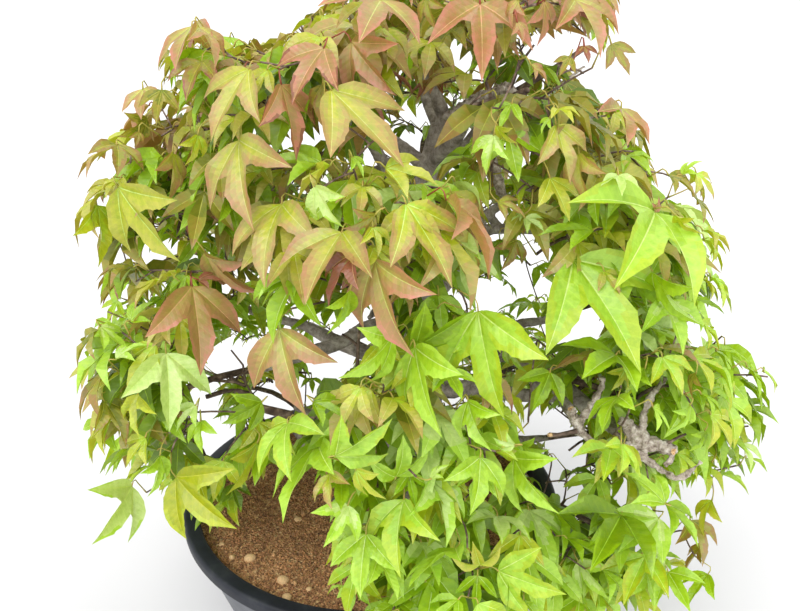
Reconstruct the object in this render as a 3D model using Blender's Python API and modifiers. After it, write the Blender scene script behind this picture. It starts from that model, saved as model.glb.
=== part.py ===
"""A maple bonsai in a round pot, as separate closed solids, in metres with +Z up.

The origin is the middle of the pot's flat underside, and +Y points to the back of the tree.
Foliage masses stand in tiers round the trunk, each on a bough of its own.  A mass grows from one
stem by one rule: seeded shoot tips are joined, nearest first, to the closest twig there is, and
each shoot ends in a pair of leaves.  A twig or leaf that would leave its mass's own cell of the
crown, or touch a limb, the soil or the pot, is left out.
"""

import math
import random
from collections import namedtuple

import bmesh
import bpy
from mathutils import Matrix, Vector, geometry
from mathutils.bvhtree import BVHTree

CLEARANCE = 0.0003  # gap between one solid and the next
WELD = 0.000001  # vertices nearer than this are one vertex

# The pot: a tapering bowl under a thick rim band.
POT_HEIGHT = 0.115
POT_RADIUS = 0.140
POT_FOOT_RADIUS = 0.098
POT_WALL = 0.005
POT_FLOOR = 0.006
POT_STEPS = 28
RIM_HEIGHT = 0.010
RIM_WALL = 0.013
RIM_STEP = 0.006
EDGE_ROUND = 0.003

# The soil fills the pot to a little below its rim.
SOIL_DEPTH_BELOW_RIM = 0.009
SOIL_TOP = POT_HEIGHT - SOIL_DEPTH_BELOW_RIM

# The trunk: it sways on its way up and spreads into surface roots at the soil.
TRUNK_FOOT = Vector((0.041, -0.018, SOIL_TOP + CLEARANCE))
TRUNK_SWAY = (Vector((0.030, -0.006, 0.215)), Vector((0.031, 0.002, 0.310)))
TRUNK_FORK = Vector((0.049, 0.000, 0.393))
TRUNK_FOOT_RADIUS = 0.029
TRUNK_FORK_RADIUS = 0.0078
TRUNK_TAPER = 1.3
TRUNK_KNOTS = 13
TRUNK_SIDES = 16
FLARE_HEIGHT = 0.040
FLARE_SPREAD = 0.026
FLARE_LEAST = 0.35  # spread between two roots as a share of the spread along a root
ROOT_LOBES = 5
ROOT_LOBE_TURN = 0.7

# The crown: tiers of foliage masses round an upright axis.
CROWN_AXIS = Vector((0.028, 0.0, 0.0))
Tier = namedtuple(
    "Tier", "name count first_azimuth step height reach radius bough_low bough_high bough_radius")
TIERS = (
    Tier("low", 7, -84, 46, 0.152, 0.150, 0.068, 0.148, 0.194, 0.0085),
    Tier("side", 1, -22, 0, 0.222, 0.200, 0.050, 0.205, 0.205, 0.0075),
    Tier("middle", 7, -92, 360 / 7, 0.257, 0.162, 0.070, 0.215, 0.265, 0.0070),
    Tier("high", 6, -96, 60, 0.350, 0.138, 0.070, 0.285, 0.335, 0.0060),
    Tier("top", 5, -130, 72, 0.430, 0.104, 0.068, 0.345, 0.383, 0.0055),
    Tier("apex", 1, 0, 0, 0.470, 0.012, 0.064, 0.393, 0.393, 0.0055),
)
CROWN_CORE = 0.05  # masses nearer to the crown's axis than this lean outwards less
MASS_FLATNESS = 1.12  # height of a mass's space as a share of its width
GOLDEN_SHARE = 0.618  # deals the boughs of a tier out over its stretch of trunk

# The boughs: crooked, tapering, each ending where it enters its mass.
BOUGH_KNOTS = 7
BOUGH_SIDES = 6
BOUGH_TIP_RADIUS = 0.0024
BOUGH_RISE = math.radians(24)
BOUGH_WANDER = 0.07  # how far a bough sways, as a share of its length
BOUGH_ENTRY = 0.62  # share of the mass's radius between its middle and the bough's tip
BOUGH_LEVELLING = 0.4  # how far a bough's end turns level and outwards
BOUGH_PULL = 0.35  # length of its curve's handles as a share of its span
BOUGH_TAPER = 1.2
KNOT_SWELL = 0.28  # old pruning scars thicken a bough this much
KNOT_LENGTH = 0.09

# Twigs and leaves.
STEM_RADIUS = 0.0021
STEM_NODES = (0.4, 0.7, 0.97)  # where twigs may leave the stem, as shares of its length
TWIG_TAPER = 0.85  # a twig's end radius as a share of its foot radius
FORK_THINNING = 0.62  # a twig's radius as a share of the one that carries it
THINNEST_TWIG = 0.0006
TWIG_SIDES = 3
TWIG_OVERLAP = 0.0002  # a twig starts this far inside the one that carries it
LEAVES_PER_MASS = 13
SHOOTS_PER_MASS = range(7, 20)
SHOOT_SPACING = 0.023
SHOOT_REACH = (0.30, 0.80)  # shares of the mass's radius between which shoots end
TRIES_PER_SHOOT = 60
SHOOT_LIFT = 0.014  # shoots end this much above the middle of their mass, as leaves hang below
LEAF_LENGTH = 0.058
LEAF_SPREAD = 0.95  # width across the side lobes as a share of the length
LEAF_THICKNESS = 0.0014
LEAF_SETBACK = 0.0016  # leaves sit this far behind their twig's end
LEAF_FOOT_SINK = 0.0004
LEAF_TURN = (0.35, 1.3)  # how far the leaves of a pair turn away from their twig
LEAF_DROOP = (0.35, 1.5)  # how steeply leaves hang
LEAF_FORWARD = 0.6  # how far leaves lean along their twig
LEAF_OUTWARD = 0.45  # and out of the crown
LEAF_FACE_UP = 0.8  # how far a blade's face turns up
LEAF_ROLL = 0.4
LEAF_SIZES = (0.82, 1.12)
LEAF_TRIES = 8
LEAF_SHRINK = 0.04  # how much shorter a leaf is at each further try
LEAF_STAGGER = 0.0025  # the leaves of a spray sit this far apart along their twig
NODE_SETBACK = 0.007  # the next twig leaves this far behind a shoot's end
SIDE_LEAVES_ALONG = 0.55
SIDE_TWIG_ALONG = 0.4
SHORTEST_TWIG = 0.009
LONGEST_BARE_TWIG = 0.022  # a longer twig bears a pair of leaves half-way too
CELL_MARGIN = 0.0004

# The leaf's outline, from its foot round by the right: across and along, as shares.
LEAF_OUTLINE = ((0.0, 0.0), (0.50, 0.56), (0.15, 0.60), (0.0, 1.0), (-0.15, 0.60), (-0.50, 0.56))
LEAF_CROWN_ALONG = 0.40

Mass = namedtuple("Mass", "name centre radius outward tier seed")
Limb = namedtuple("Limb", "name points radii sides")
Bit = namedtuple("Bit", "vertices faces")


def clear_scene():
    for old in list(bpy.data.objects):
        bpy.data.objects.remove(old, do_unlink=True)


def new_collection(name):
    made = bpy.data.collections.new(name)
    bpy.context.scene.collection.children.link(made)
    return made


def material(name, colour, roughness, metallic=0.0):
    made = bpy.data.materials.new(name)
    made.use_nodes = True
    shader = made.node_tree.nodes["Principled BSDF"]
    shader.inputs["Base Color"].default_value = (*colour, 1.0)
    shader.inputs["Roughness"].default_value = roughness
    shader.inputs["Metallic"].default_value = metallic
    return made


def object_from_mesh(name, mesh, collection, finish=None):
    made = bpy.data.objects.new(name, mesh)
    collection.objects.link(made)
    if finish is not None:
        mesh.materials.clear()
        mesh.materials.append(finish)
    return made


def evaluated_mesh(thing):
    depsgraph = bpy.context.evaluated_depsgraph_get()
    depsgraph.update()
    return bpy.data.meshes.new_from_object(thing.evaluated_get(depsgraph))


def weld(mesh, distance):
    bm = bmesh.new()
    bm.from_mesh(mesh)
    bmesh.ops.remove_doubles(bm, verts=bm.verts, dist=distance)
    bm.to_mesh(mesh)
    bm.free()


def surface_tree(mesh):
    """A mesh's faces as a tree that tells distances and crossings."""
    vertices = [vertex.co for vertex in mesh.vertices]
    return BVHTree.FromPolygons(vertices, [tuple(face.vertices) for face in mesh.polygons])


# ---------------------------------------------------------------- pot and soil


def turned(name, profile, collection, finish):
    """A solid of revolution whose profile runs down its outer side from the axis."""
    mesh = bpy.data.meshes.new(name)
    vertices = [(radius, 0.0, height) for radius, height in profile]
    mesh.from_pydata(vertices, [(i, i + 1) for i in range(len(profile) - 1)], [])
    made = object_from_mesh(name, mesh, collection, finish)
    screw = made.modifiers.new("turn", "SCREW")
    screw.steps = POT_STEPS
    screw.render_steps = POT_STEPS
    screw.use_merge_vertices = True
    screw.merge_threshold = 0.0001
    return made


def apply_modifiers(thing):
    mesh = evaluated_mesh(thing)
    old = thing.data
    thing.modifiers.clear()
    thing.data = mesh
    if old.users == 0:
        bpy.data.meshes.remove(old)


def inner_wall_radius(height):
    """The pot's inside radius under its rim."""
    share = height / (POT_HEIGHT - RIM_HEIGHT)
    outside = POT_FOOT_RADIUS + (POT_RADIUS - RIM_STEP - POT_FOOT_RADIUS) * min(share, 1.0)
    return outside - POT_WALL


def make_pot(collection):
    band_bottom = POT_HEIGHT - RIM_HEIGHT
    wall_top_radius = POT_RADIUS - RIM_STEP
    mouth_radius = POT_RADIUS - RIM_WALL
    profile = (
        (0.0, POT_FLOOR),
        (inner_wall_radius(POT_FLOOR), POT_FLOOR),
        (inner_wall_radius(band_bottom), band_bottom),
        (mouth_radius, POT_HEIGHT - EDGE_ROUND),
        (mouth_radius + EDGE_ROUND, POT_HEIGHT),
        (POT_RADIUS - EDGE_ROUND, POT_HEIGHT),
        (POT_RADIUS, POT_HEIGHT - EDGE_ROUND),
        (POT_RADIUS, band_bottom + EDGE_ROUND),
        (POT_RADIUS - EDGE_ROUND, band_bottom),
        (wall_top_radius, band_bottom),
        (POT_FOOT_RADIUS, EDGE_ROUND),
        (POT_FOOT_RADIUS - EDGE_ROUND, 0.0),
        (0.0, 0.0),
    )
    return turned("pot", profile, collection, material("pot plastic", (0.035, 0.042, 0.05), 0.42))


def make_soil(collection):
    band_bottom = POT_HEIGHT - RIM_HEIGHT
    mouth_radius = POT_RADIUS - RIM_WALL
    top_share = (SOIL_TOP - band_bottom) / (POT_HEIGHT - EDGE_ROUND - band_bottom)
    band_inside = inner_wall_radius(band_bottom)
    top_radius = band_inside + (mouth_radius - band_inside) * top_share
    profile = (
        (0.0, SOIL_TOP),
        (top_radius - 2 * CLEARANCE, SOIL_TOP),
        (band_inside - 2 * CLEARANCE, band_bottom),
        (inner_wall_radius(POT_FLOOR) - 2 * CLEARANCE, POT_FLOOR + CLEARANCE),
        (0.0, POT_FLOOR + CLEARANCE),
    )
    return turned("soil", profile, collection, material("soil grains", (0.17, 0.09, 0.05), 0.95))


def make_cutter(name, mesh, collection):
    cutter = object_from_mesh(name, mesh, collection)
    cutter.hide_render = True
    cutter.display_type = "WIRE"
    return cutter


def cut(thing, cutter):
    boolean = thing.modifiers.new("cut", "BOOLEAN")
    boolean.operation = "DIFFERENCE"
    boolean.object = cutter
    boolean.solver = "EXACT"


# ---------------------------------------------------------------- trunk and boughs


def through(waypoints, count):
    """Evenly counted points of a smooth curve through the waypoints."""
    ends = [2 * waypoints[0] - waypoints[1], *waypoints, 2 * waypoints[-1] - waypoints[-2]]
    spans = len(waypoints) - 1
    points = []
    for index in range(count):
        place = spans * index / (count - 1)
        span = min(int(place), spans - 1)
        t = place - span
        before, start, end, after = ends[span:span + 4]
        points.append(
            start
            + 0.5 * t * (end - before)
            + t * t * (before - 2.5 * start + 2 * end - 0.5 * after)
            + t * t * t * (1.5 * (start - end) + 0.5 * (after - before)))
    return points


def tube_mesh(name, points, radii, sides, extra=0.0):
    """A closed tube along the points, from a bevelled curve with its caps welded on."""
    curve = bpy.data.curves.new(name, "CURVE")
    curve.dimensions = "3D"
    curve.bevel_depth = 1.0
    curve.bevel_resolution = (sides - 4) // 2
    curve.use_fill_caps = True
    curve.render_resolution_u = 0
    spline = curve.splines.new("POLY")
    spline.points.add(len(points) - 1)
    for knot, point, radius in zip(spline.points, points, radii):
        knot.co = (*point, 1.0)
        knot.radius = radius + extra
    holder = bpy.data.objects.new(name, curve)
    bpy.context.scene.collection.objects.link(holder)
    mesh = evaluated_mesh(holder)
    bpy.data.objects.remove(holder, do_unlink=True)
    bpy.data.curves.remove(curve)
    mesh.name = name
    weld(mesh, WELD)
    return mesh


def trunk_limb():
    above_foot = TRUNK_FOOT + Vector((0, 0, FLARE_HEIGHT / 4))
    points = [TRUNK_FOOT, *through((above_foot, *TRUNK_SWAY, TRUNK_FORK), TRUNK_KNOTS - 1)]
    radii = []
    for point in points:
        left = max(0.0, (TRUNK_FORK.z - point.z) / (TRUNK_FORK.z - TRUNK_FOOT.z))
        radii.append(TRUNK_FORK_RADIUS + (TRUNK_FOOT_RADIUS - TRUNK_FORK_RADIUS) * left ** TRUNK_TAPER)
    return Limb("trunk", points, radii, TRUNK_SIDES)


def trunk_mesh(limb, extra=0.0):
    """The trunk's tube, its foot spread into the lobes of the surface roots."""
    mesh = tube_mesh(limb.name, limb.points, limb.radii, limb.sides, extra)
    for vertex in mesh.vertices:
        height = vertex.co.z - TRUNK_FOOT.z
        nearness = max(0.0, 1.0 - height / FLARE_HEIGHT) ** 2
        away = Vector((vertex.co.x - TRUNK_FOOT.x, vertex.co.y - TRUNK_FOOT.y, 0.0))
        if nearness == 0.0 or away.length < WELD:
            continue
        angle = math.atan2(away.y, away.x)
        lobe = 0.5 + 0.5 * math.cos(ROOT_LOBES * angle + ROOT_LOBE_TURN)
        spread = FLARE_LEAST + (1 - FLARE_LEAST) * lobe
        vertex.co += away.normalized() * FLARE_SPREAD * nearness * spread
    mesh.update()
    return mesh


def point_on_trunk(trunk, height):
    for lower, upper in zip(trunk.points, trunk.points[1:]):
        if upper.z >= height - WELD:
            share = (height - lower.z) / (upper.z - lower.z)
            return lower.lerp(upper, share)
    return trunk.points[-1].copy()


def crown_masses():
    """Every mass of the crown, tier by tier, on its circle round the crown's axis."""
    masses = []
    for tier_index, tier in enumerate(TIERS):
        for index in range(tier.count):
            azimuth = math.radians(tier.first_azimuth + tier.step * index)
            away = Vector((math.cos(azimuth), math.sin(azimuth), 0.0))
            centre = CROWN_AXIS + away * tier.reach + Vector((0, 0, tier.height))
            outward = away * min(1.0, tier.reach / CROWN_CORE)
            name = f"foliage_{tier.name}_{index + 1}"
            masses.append(Mass(name, centre, tier.radius, outward, tier, 100 * tier_index + index))
    return masses


def bough_limb(mass, trunk):
    """The crooked limb from the trunk's axis to where it enters its mass."""
    tier = mass.tier
    rng = random.Random(mass.seed)
    index = mass.seed % 100
    share = (index * GOLDEN_SHARE) % 1.0
    start_height = tier.bough_low + (tier.bough_high - tier.bough_low) * share
    at_fork = start_height >= TRUNK_FORK.z
    start = point_on_trunk(trunk, start_height)
    if at_fork:
        leave = (trunk.points[-1] - trunk.points[-2]).normalized()
        start = trunk.points[-1] + leave * CLEARANCE
    else:
        leave = mass.outward * math.cos(BOUGH_RISE) + Vector((0, 0, math.sin(BOUGH_RISE)))
    towards = (mass.centre - start).normalized()
    arrive = (towards + BOUGH_LEVELLING * mass.outward).normalized()
    tip = mass.centre - arrive * mass.radius * BOUGH_ENTRY
    span = (tip - start).length
    pull = span * BOUGH_PULL
    curve = geometry.interpolate_bezier(
        start, start + leave * pull, tip - arrive * pull, tip, BOUGH_KNOTS)
    side = arrive.cross(Vector((0, 0, 1))).normalized()
    wave = rng.uniform(0.7, 1.2) * rng.choice((-1, 1))
    swell_at = rng.uniform(0.35, 0.7)
    points = []
    radii = []
    for knot, point in enumerate(curve):
        along = knot / (BOUGH_KNOTS - 1)
        wander = BOUGH_WANDER * span * wave * math.sin(2 * math.pi * along) * (1 - along)
        lift = BOUGH_WANDER * span * math.sin(3 * math.pi * along) * along * (1 - along)
        points.append(point + side * wander + Vector((0, 0, lift)))
        taper = BOUGH_TIP_RADIUS + (tier.bough_radius - BOUGH_TIP_RADIUS) * (1 - along) ** BOUGH_TAPER
        swell = 1 + KNOT_SWELL * math.exp(-((along - swell_at) / KNOT_LENGTH) ** 2)
        radii.append(taper * swell)
    points[-2] = points[-1] - arrive * (points[-1] - points[-2]).length
    return Limb(mass.name.replace("foliage", "bough"), points, radii, BOUGH_SIDES)


def main_body(mesh):
    """Keep a mesh's largest shell: sealed hollows are filled and loose scraps dropped."""
    bm = bmesh.new()
    bm.from_mesh(mesh)
    unseen = set(bm.verts)
    shells = []
    while unseen:
        shell = {unseen.pop()}
        front = list(shell)
        while front:
            for edge in front.pop().link_edges:
                for vertex in edge.verts:
                    if vertex in unseen:
                        unseen.discard(vertex)
                        shell.add(vertex)
                        front.append(vertex)
        shells.append(shell)
    shells.sort(key=len)
    scraps = [vertex for shell in shells[:-1] for vertex in shell]
    bmesh.ops.delete(bm, geom=scraps, context="VERTS")
    bm.to_mesh(mesh)
    bm.free()
    return len(shells) - 1


def make_limbs(collection, cutters, masses):
    """The trunk and its boughs, each bough cut clear of the trunk and of the boughs before it."""
    bark = material("trunk bark", (0.25, 0.21, 0.18), 0.85)
    trunk = trunk_limb()
    trunk_object = object_from_mesh("trunk", trunk_mesh(trunk), collection, bark)
    trunk_object.data.shade_smooth()
    trunk_cutter = make_cutter("trunk_cutter", trunk_mesh(trunk, CLEARANCE), cutters)
    built = [(surface_tree(trunk_object.data), trunk_cutter)]
    limbs = {}
    for mass in masses:
        limb = bough_limb(mass, trunk)
        limbs[mass.name] = limb
        finish = material(f"{limb.name} bark", (0.27, 0.23, 0.20), 0.85)
        mesh = tube_mesh(limb.name, limb.points, limb.radii, limb.sides)
        bough = object_from_mesh(limb.name, mesh, collection, finish)
        own_tree = surface_tree(mesh)
        for tree, cutter in built:
            if tree.overlap(own_tree):
                cut(bough, cutter)
        apply_modifiers(bough)
        main_body(bough.data)
        bough.data.shade_smooth()
        wide = tube_mesh(f"{limb.name}_cutter", limb.points, limb.radii, limb.sides, CLEARANCE)
        cutter = make_cutter(f"{limb.name}_cutter", wide, cutters)
        built.append((surface_tree(bough.data), cutter))
    return limbs


# ---------------------------------------------------------------- foliage


def cell_depth(point, mass, masses):
    """How deep a point lies inside a mass's own cell of the crown; negative outside it."""
    own = (point - mass.centre).length_squared - mass.radius ** 2
    depth = math.inf
    for other in masses:
        if other is mass:
            continue
        theirs = (point - other.centre).length_squared - other.radius ** 2
        between = (other.centre - mass.centre).length
        depth = min(depth, (theirs - own) / (2 * between))
    return depth


def reach_share(point, mass):
    """Distance from the mass's middle as a share of its rounded space."""
    away = point - mass.centre
    away.z /= MASS_FLATNESS
    return away.length / mass.radius


def in_own_space(points, mass, masses):
    inside = all(reach_share(point, mass) <= 1.0 for point in points)
    return inside and all(cell_depth(point, mass, masses) > CELL_MARGIN for point in points)


def is_clear(bit, obstacles):
    """Whether a bit of foliage keeps its distance from every limb, the soil and the pot."""
    own_tree = BVHTree.FromPolygons(bit.vertices, bit.faces)
    for tree in obstacles:
        if tree.overlap(own_tree):
            return False
        for vertex in bit.vertices:
            if tree.find_nearest(vertex, CLEARANCE)[0] is not None:
                return False
    return True


def frame_along(direction, up):
    """A rotation whose Y runs along the direction, with Z as near to up as it can be."""
    along = direction.normalized()
    across = along.cross(up)
    if across.length < 0.01:
        across = along.cross(Vector((1, 0, 0)))
    across.normalize()
    return Matrix((across, along, across.cross(along))).transposed()


def twig_bit(start, end, start_radius, end_radius):
    """A straight tapering twig as a cone primitive between two points."""
    run = end - start
    bm = bmesh.new()
    turn = run.to_track_quat("Z", "Y").to_matrix().to_4x4()
    place = Matrix.Translation((start + end) / 2) @ turn
    bmesh.ops.create_cone(
        bm, cap_ends=True, segments=TWIG_SIDES, radius1=start_radius, radius2=end_radius,
        depth=run.length, matrix=place)
    return bit_from(bm)


def leaf_bit(foot, direction, up, length):
    """A three-lobed leaf: a low cone primitive whose base is drawn out to the leaf's outline."""
    bm = bmesh.new()
    bmesh.ops.create_cone(
        bm, cap_ends=True, segments=len(LEAF_OUTLINE), radius1=1.0, radius2=0.0, depth=1.0)
    ring = [vertex for vertex in bm.verts if vertex.co.z < 0]
    ring.sort(key=lambda vertex: math.atan2(vertex.co.y, vertex.co.x))
    for vertex, (across, along) in zip(ring, LEAF_OUTLINE):
        vertex.co = Vector((across * LEAF_SPREAD * length, along * length, 0.0))
    for crown in (vertex for vertex in bm.verts if vertex not in ring):
        crown.co = Vector((0.0, LEAF_CROWN_ALONG * length, LEAF_THICKNESS))
    turn = frame_along(direction, up).to_4x4()
    bmesh.ops.transform(bm, matrix=Matrix.Translation(foot) @ turn, verts=bm.verts)
    return bit_from(bm)


def bit_from(bm):
    bm.verts.index_update()
    bit = Bit([vertex.co.copy() for vertex in bm.verts],
              [tuple(vertex.index for vertex in face.verts) for face in bm.faces])
    bm.free()
    return bit


def shoot_tips(mass, masses, rng, shoots):
    """Seeded, well-spaced places in the mass's space where its shoots end."""
    tips = []
    for _ in range(shoots * TRIES_PER_SHOOT):
        away = Vector((rng.gauss(0, 1), rng.gauss(0, 1), rng.gauss(0, 1))).normalized()
        away *= mass.radius * rng.uniform(*SHOOT_REACH)
        away.z = away.z * MASS_FLATNESS + SHOOT_LIFT
        tip = mass.centre + away
        spaced = all((tip - other).length > SHOOT_SPACING for other in tips)
        if spaced and cell_depth(tip, mass, masses) > 4 * CELL_MARGIN:
            tips.append(tip)
        if len(tips) == shoots:
            break
    return tips


def crosses(bit, placed):
    own_tree = BVHTree.FromPolygons(bit.vertices, bit.faces)
    return any(BVHTree.FromPolygons(*other).overlap(own_tree) for other in placed)


def leaf_spray(tip, run, sides, fits, rng, mass, placed):
    """Leaves at a shoot's end, to its sides (-1 and 1) or straight on (0), drooping outwards."""
    leaves = []
    along = run.normalized()
    across = along.cross(Vector((0, 0, 1)))
    across = across.normalized() if across.length > 0.05 else Vector((1, 0, 0))
    for place, side in enumerate(sides):
        setback = LEAF_SETBACK + LEAF_STAGGER * place
        for attempt in range(LEAF_TRIES):
            spread = side * rng.uniform(*LEAF_TURN)
            flat = along * LEAF_FORWARD + across * spread + mass.outward * LEAF_OUTWARD
            flat.z = 0.0
            flat.normalize()
            direction = flat - Vector((0, 0, rng.uniform(*LEAF_DROOP)))
            up = Vector((0, 0, LEAF_FACE_UP)) + flat + across * rng.uniform(-LEAF_ROLL, LEAF_ROLL)
            length = LEAF_LENGTH * rng.uniform(*LEAF_SIZES) * (1 - LEAF_SHRINK * attempt)
            foot = tip - along * setback - direction * LEAF_FOOT_SINK
            bit = leaf_bit(foot, direction, up, length)
            if fits(bit) and not crosses(bit, placed + leaves):
                leaves.append(bit)
                break
    return leaves


def grow(mass, masses, limb, obstacles, shoots):
    """The mass's stem, twigs and leaves, as closed bits that overlap where they join."""

    def fits(bit):
        return in_own_space(bit.vertices, mass, masses) and is_clear(bit, obstacles)

    rng = random.Random(1000 + mass.seed)
    entry = (limb.points[-1] - limb.points[-2]).normalized()
    start = limb.points[-1] + entry * CLEARANCE
    stem_run = entry * (mass.centre - start).length
    twigs = [twig_bit(start, start + stem_run, STEM_RADIUS, STEM_RADIUS * TWIG_TAPER)]
    leaves = []
    nodes = [(start + stem_run * share, STEM_RADIUS * TWIG_TAPER) for share in STEM_NODES]
    tips = shoot_tips(mass, masses, rng, shoots)
    tips.sort(key=lambda tip: (tip - start).length)
    for tip in tips:
        node, carrier_radius = min(nodes, key=lambda candidate: (candidate[0] - tip).length)
        radius = max(carrier_radius * FORK_THINNING, THINNEST_TWIG)
        run = tip - node
        if run.length < SHORTEST_TWIG:
            continue
        foot = node - run.normalized() * TWIG_OVERLAP
        twig = twig_bit(foot, tip, radius, max(radius * TWIG_TAPER, THINNEST_TWIG))
        if not fits(twig) or crosses(twig, leaves):
            continue
        spray = leaf_spray(tip, run, (0, -1, 1), fits, rng, mass, twigs + leaves)
        if spray and run.length > LONGEST_BARE_TWIG:
            middle = node.lerp(tip, SIDE_LEAVES_ALONG)
            spray += leaf_spray(middle, run, (-1, 1), fits, rng, mass, twigs + leaves + spray)
        if spray:
            twigs.append(twig)
            leaves.extend(spray)
            nodes.append((node.lerp(tip, SIDE_TWIG_ALONG), radius))
            nodes.append((tip - run.normalized() * NODE_SETBACK, radius * TWIG_TAPER))
    return twigs + leaves, len(leaves)


def grow_full(mass, masses, limb, obstacles):
    """Grow the mass with more and more shoots until it bears enough leaves."""
    for shoots in SHOOTS_PER_MASS:
        bits, leaf_count = grow(mass, masses, limb, obstacles, shoots)
        if leaf_count >= LEAVES_PER_MASS:
            break
    return bits, leaf_count


def mesh_from_bit(name, bit):
    mesh = bpy.data.meshes.new(name)
    mesh.from_pydata(bit.vertices, [], bit.faces)
    return mesh


def is_closed(mesh):
    bm = bmesh.new()
    bm.from_mesh(mesh)
    closed = len(bm.faces) > 0 and all(edge.is_manifold for edge in bm.edges)
    bm.free()
    return closed


def join_bits(name, bits, collection, finish):
    """One Boolean union over a collection makes the mass's bits one closed body."""
    joined = object_from_mesh(name, mesh_from_bit(name, bits[0]), collection)
    others = new_collection(f"{name} bits")
    for index, bit in enumerate(bits[1:]):
        bit_name = f"{name}_bit_{index}"
        object_from_mesh(bit_name, mesh_from_bit(bit_name, bit), others)
    boolean = joined.modifiers.new("join", "BOOLEAN")
    boolean.operation = "UNION"
    boolean.operand_type = "COLLECTION"
    boolean.collection = others
    for solver in ("EXACT", "MANIFOLD"):
        boolean.solver = solver
        mesh = evaluated_mesh(joined)
        dropped = main_body(mesh)
        if is_closed(mesh) and dropped == 0:
            break
    joined.modifiers.clear()
    joined.data = mesh
    for bit_object in list(others.objects):
        bit_mesh = bit_object.data
        bpy.data.objects.remove(bit_object, do_unlink=True)
        bpy.data.meshes.remove(bit_mesh)
    bpy.data.collections.remove(others)
    mesh.materials.clear()
    mesh.materials.append(finish)
    return joined, solver, dropped


LEAF_COLOURS = {
    "low": (0.23, 0.42, 0.05),
    "side": (0.23, 0.42, 0.05),
    "middle": (0.24, 0.38, 0.07),
    "high": (0.30, 0.33, 0.10),
    "top": (0.32, 0.25, 0.11),
    "apex": (0.33, 0.24, 0.11),
}


def main():
    clear_scene()
    bonsai = new_collection("maple bonsai")
    cutters = new_collection("cutters")
    pot = make_pot(bonsai)
    soil = make_soil(bonsai)
    masses = crown_masses()
    limbs = make_limbs(bonsai, cutters, masses)
    solid_names = ["trunk", *(limb.name for limb in limbs.values())]
    obstacles = [surface_tree(bpy.data.objects[name].data) for name in solid_names]
    obstacles += [surface_tree(evaluated_mesh(thing)) for thing in (pot, soil)]
    total = 0
    for mass in masses:
        limb = limbs[mass.name]
        bits, leaf_count = grow_full(mass, masses, limb, obstacles)
        finish = material(f"{mass.name} leaves", LEAF_COLOURS[mass.tier.name], 0.5)
        joined, solver, dropped = join_bits(mass.name, bits, bonsai, finish)
        total += leaf_count
        triangles = sum(len(face.vertices) - 2 for face in joined.data.polygons)
        print(mass.name, "leaves", leaf_count, "triangles", triangles, solver, dropped)
    print("leaves in all", total)


main()
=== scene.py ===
# %% [markdown]
# # Dressing a potted maple bonsai
#
# The frame that is loaded here is a small tree made of plain closed solids: a pot, its soil, a trunk,
# boughs, and masses of foliage with a dozen coarse leaves each. This lesson gives each of them its
# finished look. The wood gets a skin of real bark, the masses get fine twigs with hundreds of true
# leaves, the soil gets grains, and the pot gets its moulded rim.

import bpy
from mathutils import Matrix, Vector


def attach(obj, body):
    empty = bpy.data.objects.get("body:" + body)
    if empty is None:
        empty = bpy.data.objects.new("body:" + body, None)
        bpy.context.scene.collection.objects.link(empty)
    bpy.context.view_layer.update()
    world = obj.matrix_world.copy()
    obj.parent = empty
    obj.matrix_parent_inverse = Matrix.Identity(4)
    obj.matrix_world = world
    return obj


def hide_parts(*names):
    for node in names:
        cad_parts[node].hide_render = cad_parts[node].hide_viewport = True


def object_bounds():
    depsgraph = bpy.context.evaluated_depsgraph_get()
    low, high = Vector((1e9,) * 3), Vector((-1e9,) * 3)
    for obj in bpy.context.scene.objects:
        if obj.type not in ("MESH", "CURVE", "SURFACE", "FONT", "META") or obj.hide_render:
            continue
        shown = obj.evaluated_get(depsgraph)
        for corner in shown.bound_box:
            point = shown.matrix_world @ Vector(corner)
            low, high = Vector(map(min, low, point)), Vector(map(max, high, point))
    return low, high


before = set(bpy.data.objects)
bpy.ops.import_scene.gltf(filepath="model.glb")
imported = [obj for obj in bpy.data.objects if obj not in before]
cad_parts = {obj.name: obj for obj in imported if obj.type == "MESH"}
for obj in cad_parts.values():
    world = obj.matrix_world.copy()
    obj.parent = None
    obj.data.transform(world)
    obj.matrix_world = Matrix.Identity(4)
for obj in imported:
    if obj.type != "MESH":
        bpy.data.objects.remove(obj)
CAD_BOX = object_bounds()
print("nodes in the frame:", len(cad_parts))

# %% Tools used all through
import heapq
import itertools
import math
import random
from collections import namedtuple

import bpy
import numpy as np
from mathutils import Matrix, Vector, geometry, noise
from mathutils.bvhtree import BVHTree
from mathutils.kdtree import KDTree

UP = Vector((0, 0, 1))
DOWN = Vector((0, 0, -1))


def deselect_all():
    for thing in bpy.context.selected_objects:
        thing.select_set(False)


def only(thing):
    """Select one object alone and make it active."""
    deselect_all()
    thing.select_set(True)
    bpy.context.view_layer.objects.active = thing


def add_to_scene(name, data):
    """A new object for this mesh or curve, selected alone and active."""
    thing = bpy.data.objects.new(name, data)
    bpy.context.scene.collection.objects.link(thing)
    only(thing)
    return thing


def merge_doubles(nearness, face_out=False):
    """Merge the active mesh's doubled corners, and turn its faces outwards if asked."""
    bpy.ops.object.mode_set(mode="EDIT")
    bpy.ops.mesh.select_all(action="SELECT")
    bpy.ops.mesh.remove_doubles(threshold=nearness)
    if face_out:
        bpy.ops.mesh.normals_make_consistent(inside=False)
    bpy.ops.object.mode_set(mode="OBJECT")


def add_relief(thing, name, kind, size, strength, middle=0.5, group=""):
    """A Displace modifier that raises and sinks the surface by a pattern of this size."""
    texture = bpy.data.textures.new(name, kind)
    texture.noise_scale = size
    displace = thing.modifiers.new(name, "DISPLACE")
    displace.texture = texture
    displace.texture_coords = "LOCAL"
    displace.vertex_group = group
    displace.mid_level = middle
    displace.strength = strength


def apply_all_modifiers(thing):
    only(thing)
    for modifier in list(thing.modifiers):
        bpy.ops.object.modifier_apply(modifier=modifier.name)


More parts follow.
